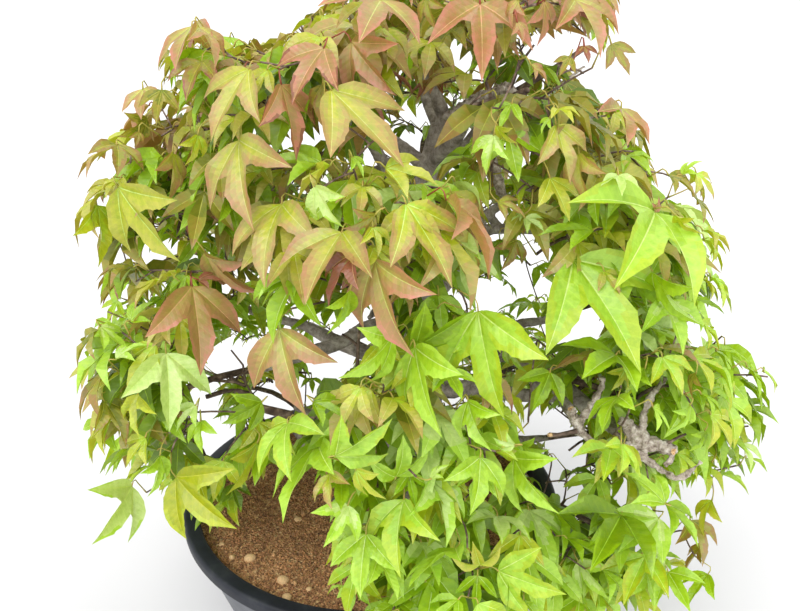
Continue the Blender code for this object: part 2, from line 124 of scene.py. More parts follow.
def settle(thing, name):
    """Name a finished piece and put its place into its mesh, so that its object sits at the origin."""
    only(thing)
    bpy.ops.object.transform_apply(location=True, rotation=True, scale=True)
    thing.name = name
    thing.data.name = name
    return thing


def coat(thing, finish):
    """Give a piece this finish and no other."""
    thing.data.materials.clear()
    thing.data.materials.append(finish)


def triangles_of(thing):
    return sum(len(face.vertices) - 2 for face in thing.data.polygons)


deselect_all()

# %% [markdown]
# ## The view
#
# The camera comes first, because some leaves are placed by where they show in its picture. It stands in
# front of the tree, a little above the crown's middle, and looks down by 24 degrees. Two helpers turn
# points in space into places in the 800 by 611 picture, and a place in the picture into a direction in
# space.

# %% The camera and its picture
PICTURE_WIDTH = 800
PICTURE_HEIGHT = 611
FOCAL_PIXELS = 923.0
SENSOR_WIDTH = 36.0
LOOK_DOWN = math.radians(24.2)
EYE = Vector((0.022, -0.5813, 0.5292))
AHEAD = Vector((0, math.cos(LOOK_DOWN), -math.sin(LOOK_DOWN)))
PICTURE_UP = Vector((0, math.sin(LOOK_DOWN), math.cos(LOOK_DOWN)))
PICTURE_RIGHT = Vector((1, 0, 0))

bpy.ops.object.camera_add(location=EYE, rotation=(math.pi / 2 - LOOK_DOWN, 0, 0))
camera = bpy.context.object
camera.data.sensor_fit = "HORIZONTAL"
camera.data.sensor_width = SENSOR_WIDTH
camera.data.lens = SENSOR_WIDTH * FOCAL_PIXELS / PICTURE_WIDTH
bpy.context.scene.camera = camera


def to_picture(points):
    """Where many points show in the picture, across and down in pixels, and how deep they lie."""
    away = points - np.array(EYE)
    depth = away @ np.array(AHEAD)
    across = PICTURE_WIDTH / 2 + FOCAL_PIXELS * away[:, 0] / depth
    down = PICTURE_HEIGHT / 2 - FOCAL_PIXELS * (away @ np.array(PICTURE_UP)) / depth
    return across, down, depth


def sight_line(across, down):
    """The direction seen at a place in the picture, one metre deep."""
    right = (across - PICTURE_WIDTH / 2) / FOCAL_PIXELS
    up = (PICTURE_HEIGHT / 2 - down) / FOCAL_PIXELS
    return AHEAD + PICTURE_RIGHT * right + PICTURE_UP * up


print("camera lens in millimetres:", round(camera.data.lens, 2))

# %% [markdown]
# ## The tree's rule
#
# A bonsai's trunk sways on its way up, and its boughs leave it in tiers and end where the leaves begin.
# The frame's solids follow named sizes for this, and the same sizes are written here, so that bark and
# twigs fall exactly where the solids are. Each mass of foliage keeps to a rounded space round a middle of
# its own.

# %% Named sizes of the tree
CLEARANCE = 0.0003
POT_HEIGHT = 0.115
POT_RADIUS = 0.140
POT_FOOT_RADIUS = 0.098
POT_WALL = 0.005
POT_FLOOR = 0.006
RIM_HEIGHT = 0.010
RIM_WALL = 0.013
RIM_STEP = 0.006
SOIL_TOP = 0.106
SOIL_RADIUS = 0.1280

TRUNK_FOOT = Vector((0.041, -0.018, SOIL_TOP + CLEARANCE))
TRUNK_SWAY = (Vector((0.030, -0.006, 0.215)), Vector((0.031, 0.002, 0.310)))
TRUNK_FORK = Vector((0.049, 0.000, 0.393))
TRUNK_FOOT_RADIUS = 0.029
TRUNK_FORK_RADIUS = 0.0078
TRUNK_TAPER = 1.3
TRUNK_KNOTS = 13
FLARE_HEIGHT = 0.040
FLARE_SPREAD = 0.026
FLARE_LEAST = 0.35
ROOT_LOBES = 5
ROOT_LOBE_TURN = 0.7

CROWN_AXIS = Vector((0.028, 0.0, 0.0))
CROWN_CORE = 0.05
MASS_FLATNESS = 1.12
GOLDEN_SHARE = 0.618
Tier = namedtuple(
    "Tier", "name count first_azimuth step height reach radius bough_low bough_high bough_radius")
TIERS = (
    Tier("low", 7, -84, 46, 0.152, 0.150, 0.068, 0.148, 0.194, 0.0085),
    Tier("side", 1, -22, 0, 0.222, 0.200, 0.050, 0.205, 0.205, 0.0075),
    Tier("middle", 7, -92, 360 / 7, 0.257, 0.162, 0.070, 0.215, 0.265, 0.0070),
    Tier("high", 6, -96, 60, 0.350, 0.138, 0.070, 0.285, 0.335, 0.0060),
    Tier("top", 5, -130, 72, 0.430, 0.104, 0.068, 0.345, 0.383, 0.0055),
    Tier("apex", 1, 0, 0, 0.470, 0.012, 0.064, 0.393, 0.393, 0.0055),
)
BOUGH_KNOTS = 7
BOUGH_TIP_RADIUS = 0.0024
BOUGH_RISE = math.radians(24)
BOUGH_WANDER = 0.07
BOUGH_ENTRY = 0.62
BOUGH_LEVELLING = 0.4
BOUGH_PULL = 0.35
BOUGH_TAPER = 1.2
BOUGH_WAVE = (0.7, 1.2)
KNOT_SWELL = 0.28
KNOT_LENGTH = 0.09
KNOT_PLACE = (0.35, 0.7)
SEEDS_PER_TIER = 100

Mass = namedtuple("Mass", "name centre radius outward tier seed")
Limb = namedtuple("Limb", "name points radii")


def through(waypoints, count):
    """Evenly counted points of a smooth curve through the waypoints."""
    ends = [2 * waypoints[0] - waypoints[1], *waypoints, 2 * waypoints[-1] - waypoints[-2]]
    spans = len(waypoints) - 1
    points = []
    for index in range(count):
        place = spans * index / (count - 1)
        span = min(int(place), spans - 1)
        t = place - span
        before, start, end, after = ends[span:span + 4]
        points.append(
            start
            + 0.5 * t * (end - before)
            + t * t * (before - 2.5 * start + 2 * end - 0.5 * after)
            + t * t * t * (1.5 * (start - end) + 0.5 * (after - before)))
    return points


def trunk_limb():
    above_foot = TRUNK_FOOT + Vector((0, 0, FLARE_HEIGHT / 4))
    points = [TRUNK_FOOT, *through((above_foot, *TRUNK_SWAY, TRUNK_FORK), TRUNK_KNOTS - 1)]
    radii = []
    for point in points:
        left = max(0.0, (TRUNK_FORK.z - point.z) / (TRUNK_FORK.z - TRUNK_FOOT.z))
        radii.append(TRUNK_FORK_RADIUS + (TRUNK_FOOT_RADIUS - TRUNK_FORK_RADIUS) * left ** TRUNK_TAPER)
    return Limb("trunk", points, radii)


def point_on_trunk(trunk, height):
    for lower, upper in zip(trunk.points, trunk.points[1:]):
        if upper.z >= height:
            return lower.lerp(upper, (height - lower.z) / (upper.z - lower.z))
    return trunk.points[-1].copy()


def crown_masses():
    masses = []
    for tier_index, tier in enumerate(TIERS):
        for index in range(tier.count):
            azimuth = math.radians(tier.first_azimuth + tier.step * index)
            away = Vector((math.cos(azimuth), math.sin(azimuth), 0.0))
            centre = CROWN_AXIS + away * tier.reach + UP * tier.height
            outward = away * min(1.0, tier.reach / CROWN_CORE)
            name = f"foliage_{tier.name}_{index + 1}"
            seed = SEEDS_PER_TIER * tier_index + index
            masses.append(Mass(name, centre, tier.radius, outward, tier, seed))
    return masses


def bough_limb(mass, trunk):
    """The crooked limb from the trunk's axis to where it enters its mass."""
    tier = mass.tier
    rng = random.Random(mass.seed)
    share = (mass.seed % SEEDS_PER_TIER * GOLDEN_SHARE) % 1.0
    start_height = tier.bough_low + (tier.bough_high - tier.bough_low) * share
    start = point_on_trunk(trunk, start_height)
    leave = mass.outward * math.cos(BOUGH_RISE) + UP * math.sin(BOUGH_RISE)
    if start_height >= TRUNK_FORK.z:
        leave = (trunk.points[-1] - trunk.points[-2]).normalized()
    towards = (mass.centre - start).normalized()
    arrive = (towards + BOUGH_LEVELLING * mass.outward).normalized()
    tip = mass.centre - arrive * mass.radius * BOUGH_ENTRY
    span = (tip - start).length
    pull = span * BOUGH_PULL
    curve = geometry.interpolate_bezier(
        start, start + leave * pull, tip - arrive * pull, tip, BOUGH_KNOTS)
    side = arrive.cross(UP).normalized()
    wave = rng.uniform(*BOUGH_WAVE) * rng.choice((-1, 1))
    swell_at = rng.uniform(*KNOT_PLACE)
    points = []
    radii = []
    for knot, point in enumerate(curve):
        along = knot / (BOUGH_KNOTS - 1)
        wander = BOUGH_WANDER * span * wave * math.sin(2 * math.pi * along) * (1 - along)
        lift = BOUGH_WANDER * span * math.sin(3 * math.pi * along) * along * (1 - along)
        points.append(point + side * wander + UP * lift)
        taper = BOUGH_TIP_RADIUS + (tier.bough_radius - BOUGH_TIP_RADIUS) * (1 - along) ** BOUGH_TAPER
        swell = 1 + KNOT_SWELL * math.exp(-((along - swell_at) / KNOT_LENGTH) ** 2)
        radii.append(taper * swell)
    points[-2] = points[-1] - arrive * (points[-1] - points[-2]).length
    return Limb(mass.name.replace("foliage", "bough"), points, radii)


TRUNK = trunk_limb()
MASSES = crown_masses()
BOUGHS = {mass.name: bough_limb(mass, TRUNK) for mass in MASSES}
print("masses of foliage:", len(MASSES))

# %% [markdown]
# ## Wood as curves
#
# A limb, a twig and a leaf's stalk are all tubes that get thinner. A Blender curve with a round bevel
# makes such a tube, and the radius of each of its points gives the taper. Many tubes can be splines of
# one curve, which is then turned into one mesh.

# %% Tubes from splines
TUBE_NEARNESS = 0.000001


def curve_of(name, lines):
    """A curve of straight splines. Each line is its points and their radii."""
    curve = bpy.data.curves.new(name, "CURVE")
    curve.dimensions = "3D"
    for points, radii in lines:
        spline = curve.splines.new("POLY")
        spline.points.add(len(points) - 1)
        for knot, point, radius in zip(spline.points, points, radii):
            knot.co = (*point, 1.0)
            knot.radius = radius
    return curve


def tubes(name, lines, resolution):
    """One mesh of tapering tubes along these lines."""
    curve = curve_of(name, lines)
    curve.bevel_depth = 1.0
    curve.bevel_resolution = resolution
    curve.use_fill_caps = True
    curve.render_resolution_u = 0
    add_to_scene(name, curve)
    bpy.ops.object.convert(target="MESH")
    merge_doubles(TUBE_NEARNESS)
    return bpy.context.object


# %% [markdown]
# ## Finishes
#
# A finish is a set of shader nodes. Bark, soil and plastic get their colour from noise at the scale of
# the real thing. Leaves are different: each leaf has one plain colour, and the tints of the crown come
# from dealing different leaves different colours, because a pattern can't be carried over to a thousand
# tiny faces.

# %% Helpers for finishes
BRIGHTEST = 255
MIX_FIRST = 6  # a Mix node's colours have these numbers, because their names are used more than once
MIX_SECOND = 7
MIX_RESULT = 2


def colour(red, green, blue):
    """A colour given as it looks on a screen, from 0 to 255, as the linear light that a shader wants."""
    shares = [value / BRIGHTEST for value in (red, green, blue)]
    linear = [s / 12.92 if s <= 0.04045 else ((s + 0.055) / 1.055) ** 2.4 for s in shares]
    return (*linear, 1.0)


def shader_of(finish):
    return finish.node_tree.nodes["Principled BSDF"]


def new_finish(name, base, roughness):
    finish = bpy.data.materials.new(name)
    finish.use_nodes = True
    shader_of(finish).inputs["Base Color"].default_value = base
    shader_of(finish).inputs["Roughness"].default_value = roughness
    return finish


def node(finish, kind, **settings):
    """A new shader node. A setting sets the socket of that name, or else the node's own option."""
    made = finish.node_tree.nodes.new(kind)
    for name, value in settings.items():
        if name in made.inputs:
            made.inputs[name].default_value = value
        else:
            setattr(made, name, value)
    return made


def wire(finish, source, output, target, entry):
    """Join two nodes by the names or numbers of their sockets."""
    finish.node_tree.links.new(source.outputs[output], target.inputs[entry])


def object_pattern(finish, kind="ShaderNodeTexNoise", stretch=(1, 1, 1), **settings):
    """A pattern node, noise if nothing else is asked, that reads the piece's own coordinates."""
    place = node(finish, "ShaderNodeTexCoord")
    mapping = node(finish, "ShaderNodeMapping")
    mapping.inputs["Scale"].default_value = stretch
    pattern = node(finish, kind, **settings)
    wire(finish, place, "Object", mapping, "Vector")
    wire(finish, mapping, "Vector", pattern, "Vector")
    return pattern


def ramp(finish, source, output, stops):
    """Turns a pattern's number into colours, from a list of places and colours."""
    made = node(finish, "ShaderNodeValToRGB")
    elements = made.color_ramp.elements
    while len(elements) < len(stops):
        elements.new(0.5)
    for element, (place, stop_colour) in zip(elements, stops):
        element.position = place
        element.color = stop_colour
    wire(finish, source, output, made, "Fac")
    return made


def bump(finish, source, output, strength, distance, under=None):
    made = node(finish, "ShaderNodeBump", Strength=strength, Distance=distance)
    wire(finish, source, output, made, "Height")
    if under is not None:
        wire(finish, under, "Normal", made, "Normal")
    wire(finish, made, "Normal", shader_of(finish), "Normal")
    return made


def rescaled(finish, source, output, low, high, new_low=0.0, new_high=1.0):
    """The source's number, carried from one range onto another."""
    made = node(finish, "ShaderNodeMapRange", **{
        "From Min": low, "From Max": high, "To Min": new_low, "To Max": new_high})
    wire(finish, source, output, made, "Value")
    return made


def mixed(finish, first, blend_type="MIX"):
    """A Mix node that takes this node's colour first and gives the finish its colour."""
    made = node(finish, "ShaderNodeMix", data_type="RGBA", blend_type=blend_type)
    wire(finish, first, "Color", made, MIX_FIRST)
    wire(finish, made, MIX_RESULT, shader_of(finish), "Base Color")
    return made


def patterned_finish(name, look, roughness, noise_settings, stops, relief):
    """A finish whose colours and relief both follow one noise. The relief is its strength and height."""
    finish = new_finish(name, colour(*look), roughness)
    pattern = object_pattern(finish, **noise_settings)
    colours = ramp(finish, pattern, "Fac", [(place, colour(*stop_look)) for place, stop_look in stops])
    wire(finish, colours, "Color", shader_of(finish), "Base Color")
    bump(finish, pattern, "Fac", *relief)
    return finish


def grey(level):
    return (level, level, level, 1.0)


# %% [markdown]
# ### Bark
#
# Old maple bark is grey with a touch of mauve and paler on its scars. A broad noise mixes the greys, a fine
# noise that is stretched along the limb draws the cracks, and both also raise the surface. The cracks are
# darkened almost to black by painted shade that is multiplied into the colour.

# %% The bark's finish
bark = new_finish("maple_bark", colour(120, 112, 108), 0.88)
patches = object_pattern(bark, Scale=130.0, Detail=7.0, Roughness=0.72)
bark_colours = ramp(bark, patches, "Fac", (
    (0.30, colour(90, 81, 74)),
    (0.44, colour(136, 126, 118)),
    (0.56, colour(172, 162, 154)),
    (0.72, colour(212, 204, 197)),
))
cracks = object_pattern(bark, stretch=(1, 1, 0.35), Scale=520.0, Detail=5.0, Roughness=0.7)
# painted shade: the crack noise darkens the bark's colour to half in its cracks
crack_shade = ramp(bark, cracks, "Fac", ((0.30, grey(0.5)), (0.46, grey(1.0))))
bark_mix = mixed(bark, bark_colours, "MULTIPLY")
bark_mix.inputs["Factor"].default_value = 0.85
wire(bark, crack_shade, "Color", bark_mix, MIX_SECOND)
coarse_bark = bump(bark, patches, "Fac", 0.5, 0.0015)
bump(bark, cracks, "Fac", 0.6, 0.0006, coarse_bark)

# Painted light: a lighter copy of the bark makes the pruned limbs that show look sunlit in the crown's
# shade.
painted_lit_bark = patterned_finish(
    "painted_lit_bark", (200, 190, 184), 0.9, {"Scale": 300.0, "Detail": 6.0, "Roughness": 0.65}, (
        (0.34, (104, 90, 78)),
        (0.45, (152, 139, 126)),
        (0.56, (186, 174, 162)),
        (0.70, (222, 214, 206)),
    ), (0.9, 0.0012))
cut_wood = patterned_finish(
    "cut_wood", (214, 172, 122), 0.85, {"Scale": 900.0, "Detail": 4.0}, (
        (0.35, (166, 120, 80)),
        (0.60, (226, 190, 144)),
    ), (0.5, 0.0005))
twig_bark = patterned_finish(
    "twig_bark", (104, 84, 70), 0.75, {"Scale": 260.0, "Detail": 3.0}, (
        (0.35, (70, 54, 45)),
        (0.55, (108, 88, 75)),
        (0.70, (152, 132, 116)),
    ), (0.4, 0.0004))
print("finishes so far:", len(bpy.data.materials))

# %% [markdown]
# ## The trunk and its boughs
#
# Real limbs run into one another without a seam, and they carry the marks of their training: rings of
# healed wood where a branch was cut, and short stubs. The limbs and stubs are made as separate tubes, the
# foot is spread into surface roots, and a voxel remesh melts them into one skin. Two Displace modifiers
# then raise lumps and flakes, held back on thin limbs by a vertex group, so that the skin keeps close to
# the solids.

# %% Limbs, scars and stubs as tubes
TRUNK_STEPS = 90
BOUGH_STEPS = 36
ROUND_TRUNK = 14  # bevel resolutions of the trunk's tube and of a limb's
ROUND_LIMB = 6
STUB_LENGTH = (0.006, 0.011)
STUB_WIDTH = (0.34, 0.5)  # as a share of the limb's
THINNEST_STUB = 0.0018
STUB_LEAN = 0.25
STUB_HEIGHTS = (0.0, 0.55, 0.75, 0.97, 1.0)
STUB_WIDTHS = (1.7, 1.5, 1.05, 0.98, 0.8)
STUBS_PER_BOUGH = (1, 2, 2)
STUB_PLACES = (0.35, 0.85)
SCAR_PLACES = (0.30, 0.52, 0.68, 0.80, 0.90)


def finer(limb, count):
    """The same limb with more points, and radii that run smoothly between its knots."""
    points = through(limb.points, count)
    radii = []
    for index in range(count):
        place = (len(limb.radii) - 1) * index / (count - 1)
        low = min(int(place), len(limb.radii) - 2)
        radii.append(limb.radii[low] + (limb.radii[low + 1] - limb.radii[low]) * (place - low))
    return points, radii


def stub_lines(points, radii, places, rng):
    """Cut stubs with a swollen collar, standing off a limb at some of its points."""
    lines = []
    for place in places:
        index = int(place * (len(points) - 1))
        along = (points[index] - points[index - 1]).normalized()
        turn = Matrix.Rotation(rng.uniform(0, 2 * math.pi), 3, along)
        off = turn @ along.orthogonal().normalized()
        reach = radii[index] + rng.uniform(*STUB_LENGTH)
        width = max(THINNEST_STUB, radii[index] * rng.uniform(*STUB_WIDTH))
        aim = (off + along * STUB_LEAN).normalized()
        lines.append((
            [points[index] + aim * reach * height for height in STUB_HEIGHTS],
            [width * share for share in STUB_WIDTHS]))
    return lines


# Limbs that show between the leaves: how deep they lie, then across, down and half width in pixels.
SEEN_LIMBS = (
    # the fork at the top, and its healed cut
    (0.578, ((446, 119, 6.5), (454, 115, 6.5), (464, 108, 6.5), (478, 99, 6), (490, 95, 6), (500, 92, 8),
             (507, 91, 8.5), (514, 95, 5), (524, 98, 3.2), (541, 100, 2.4), (553, 91, 1.8), (585, 66, 1.2))),
    (0.570, ((491, 156, 4), (497, 172, 4.5), (502, 192, 4.5), (510, 205, 3))),
    # the left pruned limb
    (0.520, ((603, 377, 3.2), (600, 391, 3.0), (592, 404, 3.2), (585, 415, 3.8), (579, 424, 5.4))),
    (0.519, ((571, 409, 4.8), (573, 415, 4.6), (577, 423, 5.4), (580, 431, 5.2), (589, 439, 4.0),
             (597, 447, 4.4))),
    # the right pruned limb, thick at its knuckle
    (0.521, ((620, 420, 4), (626, 424, 6), (633, 434, 8.5), (645, 443, 9.5), (654, 444, 7))),
    (0.518, ((667, 377, 2.6), (657, 389, 3.2), (649, 400, 3.0), (645, 411, 3.6), (643, 425, 4),
             (644, 440, 6))),
    (0.520, ((648, 444, 7), (658, 445, 6.5), (667, 448, 7), (674, 452, 5))),
    (0.519, ((673, 450, 4), (671, 459, 3.2), (664, 465, 2.6))),
    (0.522, ((630, 440, 6), (634, 450, 6), (645, 459, 4.2), (656, 466, 3.6), (665, 472, 3.2),
             (677, 478, 2.8), (690, 472, 2.2), (701, 462, 1.8))),
)
SEEN_TWIGS = (
    (0.575, ((511, 88, 1.8), (520, 64, 1.6), (534, 45, 1.2))),
    (0.515, ((577, 431, 2.8), (568, 433, 2.3), (558, 435, 2.1), (549, 435, 2.6))),
    (0.515, ((668, 443, 1.8), (677, 438, 1.4), (686, 434, 1.2))),
    (0.560, ((187, 387, 1.2), (209, 380, 1.5), (236, 382, 1.7), (246, 386, 2.0))),
    (0.560, ((231, 350, 0.9), (243, 365, 1.1), (246, 386, 1.6))),
    (0.560, ((206, 397, 2.4), (225, 391, 2.4), (238, 391, 2.6), (250, 395, 3.6), (261, 408, 4.2),
             (292, 416, 5))),
    (0.500, ((361, 318, 1.4), (358, 345, 1.8), (357, 378, 2.2))),
    (0.500, ((342, 334, 1.1), (350, 339, 1.3), (358, 346, 1.6))),
)
# Cut ends that show their wood: how deep, where, half width, and how they face, across and down.
CUT_ENDS = (
    (0.518, (571, 408.5), 3.4, (-0.35, -0.8)),
    (0.518, (597.5, 448), 3.2, (0.6, 0.5)),
    (0.517, (675, 452), 3.4, (0.8, 0.2)),
    (0.575, (507, 90.5), 4.2, (0.1, -0.1)),
    (0.512, (548.5, 435), 2.0, (-0.9, 0.0)),
)
LINK_SAG = 0.08
LINK_THICKENING = (0.9, 1.0, 1.1)


def seen_line(depth, places):
    """A limb noted by its place in the picture, as points and radii in space."""
    points = [EYE + sight_line(across, down) * depth for across, down, _ in places]
    return points, [half * depth / FOCAL_PIXELS for _, _, half in places]


def link_to_limbs(points, radii, lines):
    """A hidden piece of limb from a seen one's thicker end back to the nearest limb."""
    end = points[-1] if radii[-1] >= radii[0] else points[0]
    radius = max(radii[0], radii[-1])
    nearest = min((point for line, _ in lines for point in line), key=lambda point: (point - end).length)
    middle = end.lerp(nearest, 0.5) - UP * (nearest - end).length * LINK_SAG
    return [end, middle, nearest.copy()], [radius * share for share in LINK_THICKENING]


trunk_line = finer(TRUNK, TRUNK_STEPS)
trunk_object = tubes("trunk_tube", [trunk_line], ROUND_TRUNK)
for vertex in trunk_object.data.vertices:
    height = vertex.co.z - TRUNK_FOOT.z
    nearness = max(0.0, 1.0 - height / FLARE_HEIGHT) ** 2
    away = Vector((vertex.co.x - TRUNK_FOOT.x, vertex.co.y - TRUNK_FOOT.y, 0.0))
    if away.length > TUBE_NEARNESS:
        lobe = 0.5 + 0.5 * math.cos(ROOT_LOBES * math.atan2(away.y, away.x) + ROOT_LOBE_TURN)
        spread = FLARE_LEAST + (1 - FLARE_LEAST) * lobe
        vertex.co += away.normalized() * FLARE_SPREAD * nearness * spread

wood_rng = random.Random(7)
limb_lines = [finer(limb, BOUGH_STEPS) for limb in BOUGHS.values()]
wood_lines = list(limb_lines)
wood_lines += stub_lines(*trunk_line, SCAR_PLACES, wood_rng)
for points, radii in limb_lines:
    places = [wood_rng.uniform(*STUB_PLACES) for _ in range(wood_rng.choice(STUBS_PER_BOUGH))]
    wood_lines += stub_lines(points, radii, places, wood_rng)
seen_lines = [seen_line(depth, places) for depth, places in SEEN_LIMBS]
for points, radii in seen_lines:
    wood_lines.append(link_to_limbs(points, radii, [trunk_line, *limb_lines]))
limbs_object = tubes("limb_tubes", wood_lines, ROUND_LIMB)
print("tubes of wood:", len(wood_lines) + 1)

# %% One skin of bark over all limbs
VOXEL = 0.0014
THICK_LIMB = 0.020  # a limb's relief grows with its radius, from a least share, and is full near this one
LEAST_RELIEF = 0.25
RELIEF_MIDDLE = 0.55
BARK_UNDER_SOIL = 0.002

only(trunk_object)
limbs_object.select_set(True)
bpy.ops.object.join()
wood = bpy.context.object
wood.data.remesh_voxel_size = VOXEL
bpy.ops.object.voxel_remesh()

line_points = [(point, radius) for points, radii in [trunk_line, *limb_lines]
               for point, radius in zip(points, radii)]
limb_tree = KDTree(len(line_points))
for index, (point, _) in enumerate(line_points):
    limb_tree.insert(point, index)
limb_tree.balance()
thick = wood.vertex_groups.new(name="thick")
for vertex in wood.data.vertices:
    nearest = limb_tree.find(vertex.co)[1]
    thick.add([vertex.index], min(1.0, LEAST_RELIEF + line_points[nearest][1] / THICK_LIMB), "REPLACE")

add_relief(wood, "lumps", "CLOUDS", 0.014, 0.0030, RELIEF_MIDDLE, "thick")
add_relief(wood, "flakes", "VORONOI", 0.0035, 0.0011, RELIEF_MIDDLE, "thick")
apply_all_modifiers(wood)
for vertex in wood.data.vertices:
    vertex.co.z = max(vertex.co.z, SOIL_TOP - BARK_UNDER_SOIL)
bpy.ops.object.shade_smooth()
settle(wood, "trunk_and_boughs")
coat(wood, bark)
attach(wood, "root")
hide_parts("trunk", *(limb.name for limb in BOUGHS.values()))
print("triangles of bark:", triangles_of(wood))

# %% Pruned limbs that show, and their cut ends
PRUNED_VOXEL = 0.00065
PRUNED_STEPS = 7  # points for each one that is noted
KNOBBLE = 0.16
CUT_DEPTH = 0.0022
CUT_DOMING = 0.0002
CUT_RIM = 0.8  # how wide the flat middle of a cut end is
CUT_TO_CAMERA = 0.6


def knobbly(points, radii, rng):
    """The same limb with more points, each a little thicker or thinner than a smooth taper."""
    count = (len(points) - 1) * PRUNED_STEPS + 1
    finer_points, finer_radii = finer(Limb("", points, radii), count)
    swelling = [1 + rng.uniform(-KNOBBLE, KNOBBLE) for _ in range(count)]
    return finer_points, [radius * swell for radius, swell in zip(finer_radii, swelling)]


knobbly_lines = [knobbly(points, radii, wood_rng) for points, radii in seen_lines]
pruned = tubes("pruned_limbs", knobbly_lines, ROUND_LIMB)
only(pruned)
pruned.data.remesh_voxel_size = PRUNED_VOXEL
bpy.ops.object.voxel_remesh()
add_relief(pruned, "knobs", "CLOUDS", 0.0045, 0.0030)
add_relief(pruned, "wrinkles", "VORONOI", 0.0018, 0.0008)
apply_all_modifiers(pruned)
bpy.ops.object.shade_smooth()
settle(pruned, "pruned_limbs")

cut_lines = []
for depth, place, half, (right, down) in CUT_ENDS:
    face = EYE + sight_line(*place) * depth
    facing = (PICTURE_RIGHT * right - PICTURE_UP * down - AHEAD * CUT_TO_CAMERA).normalized()
    radius = half * depth / FOCAL_PIXELS
    heights = (-CUT_DEPTH, 0.0, CUT_DOMING)
    cut_lines.append(([face + facing * height for height in heights], [radius, radius, radius * CUT_RIM]))
cut_ends = settle(tubes("cut_ends", cut_lines, 3), "cut_ends")
for piece, finish in ((pruned, painted_lit_bark), (cut_ends, cut_wood)):
    coat(piece, finish)
    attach(piece, "root")
    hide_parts("trunk", *(limb.name for limb in BOUGHS.values()))
print("triangles of pruned limbs:", triangles_of(pruned))

# %% [markdown]
# ## One maple leaf
#
# The leaf has three lobes that run to long points, with a few small teeth on their margins, and a pale
# rib down the middle of each lobe. Each half of a lobe starts as a flat grid primitive of two columns: a
# narrow one beside the rib and a wide one out to the margin. Its rows are moved to the leaf's outline,
# the six halves are joined, and doubled edges are merged. Each face is noted as rib, or by its band from
# foot to point, so that a leaf can change colour towards its points. Two leaves are made so: a fine one
# for the front sprays, and a plainer one for the rest.

# %% The outline of a lobe
SIDE_LOBE_TURN = math.radians(47)
SINUS_ANGLE = math.radians(22)
# Each row: how far along the rib, the half width of the middle lobe, and both half widths of a side lobe.
FINE_ROWS = (
    (0.00, 0.000, 0.000, 0.000),
    (0.09, None, None, 0.070),
    (0.22, None, None, 0.134),
    (0.37, None, None, 0.160),
    (0.46, 0.156, 0.146, 0.158),
    (0.54, 0.162, 0.142, 0.150),
    (0.59, 0.169, 0.146, 0.134),
    (0.68, 0.136, 0.116, 0.116),
    (0.73, 0.137, 0.116, 0.098),
    (0.82, 0.080, 0.068, 0.064),
    (0.90, 0.040, 0.034, 0.034),
    (1.00, 0.000, 0.000, 0.000),
)
PLAIN_ROWS = tuple(FINE_ROWS[index] for index in (0, 2, 4, 6, 9, 11))
SIDE_LOBE_LENGTH = 0.80
SINUS_SHARE = 0.37  # how far out the lobes part
RIB_FOOT_WIDTH = 0.0080
RIB_TIP_WIDTH = 0.0025
RIB_END = 12  # how sharply a rib ends at its point
LEAF_NEARNESS = 0.0015
MARGIN_LEAD = 2.2  # how many bands a leaf's margin is ahead of its middle
BANDS = 9  # bands of colour from a leaf's foot to its points
RIB_ZONE = BANDS


def half_lobe(shares, widths, turn, length, side, columns):
    """A grid of a few columns shaped into half a lobe, from its rib to its margin."""
    bpy.ops.mesh.primitive_grid_add(x_subdivisions=columns, y_subdivisions=len(shares) - 1, size=2)
    half = bpy.context.object
    rotation = Matrix.Rotation(-turn, 3, "Z")
    for vertex in half.data.vertices:
        column = round((vertex.co.x + 1) / 2 * columns)
        row = round((vertex.co.y + 1) / 2 * (len(shares) - 1))
        share = shares[row]
        rib = (RIB_FOOT_WIDTH + (RIB_TIP_WIDTH - RIB_FOOT_WIDTH) * share) * min(1.0, (1 - share) * RIB_END)
        if share == 0.0:
            rib = 0.0
        across = 0.0 if column == 0 else rib + (widths[row] - rib) * (column - 1) / (columns - 1)
        vertex.co = rotation @ Vector((side * across, share * length, 0.0))
    return half


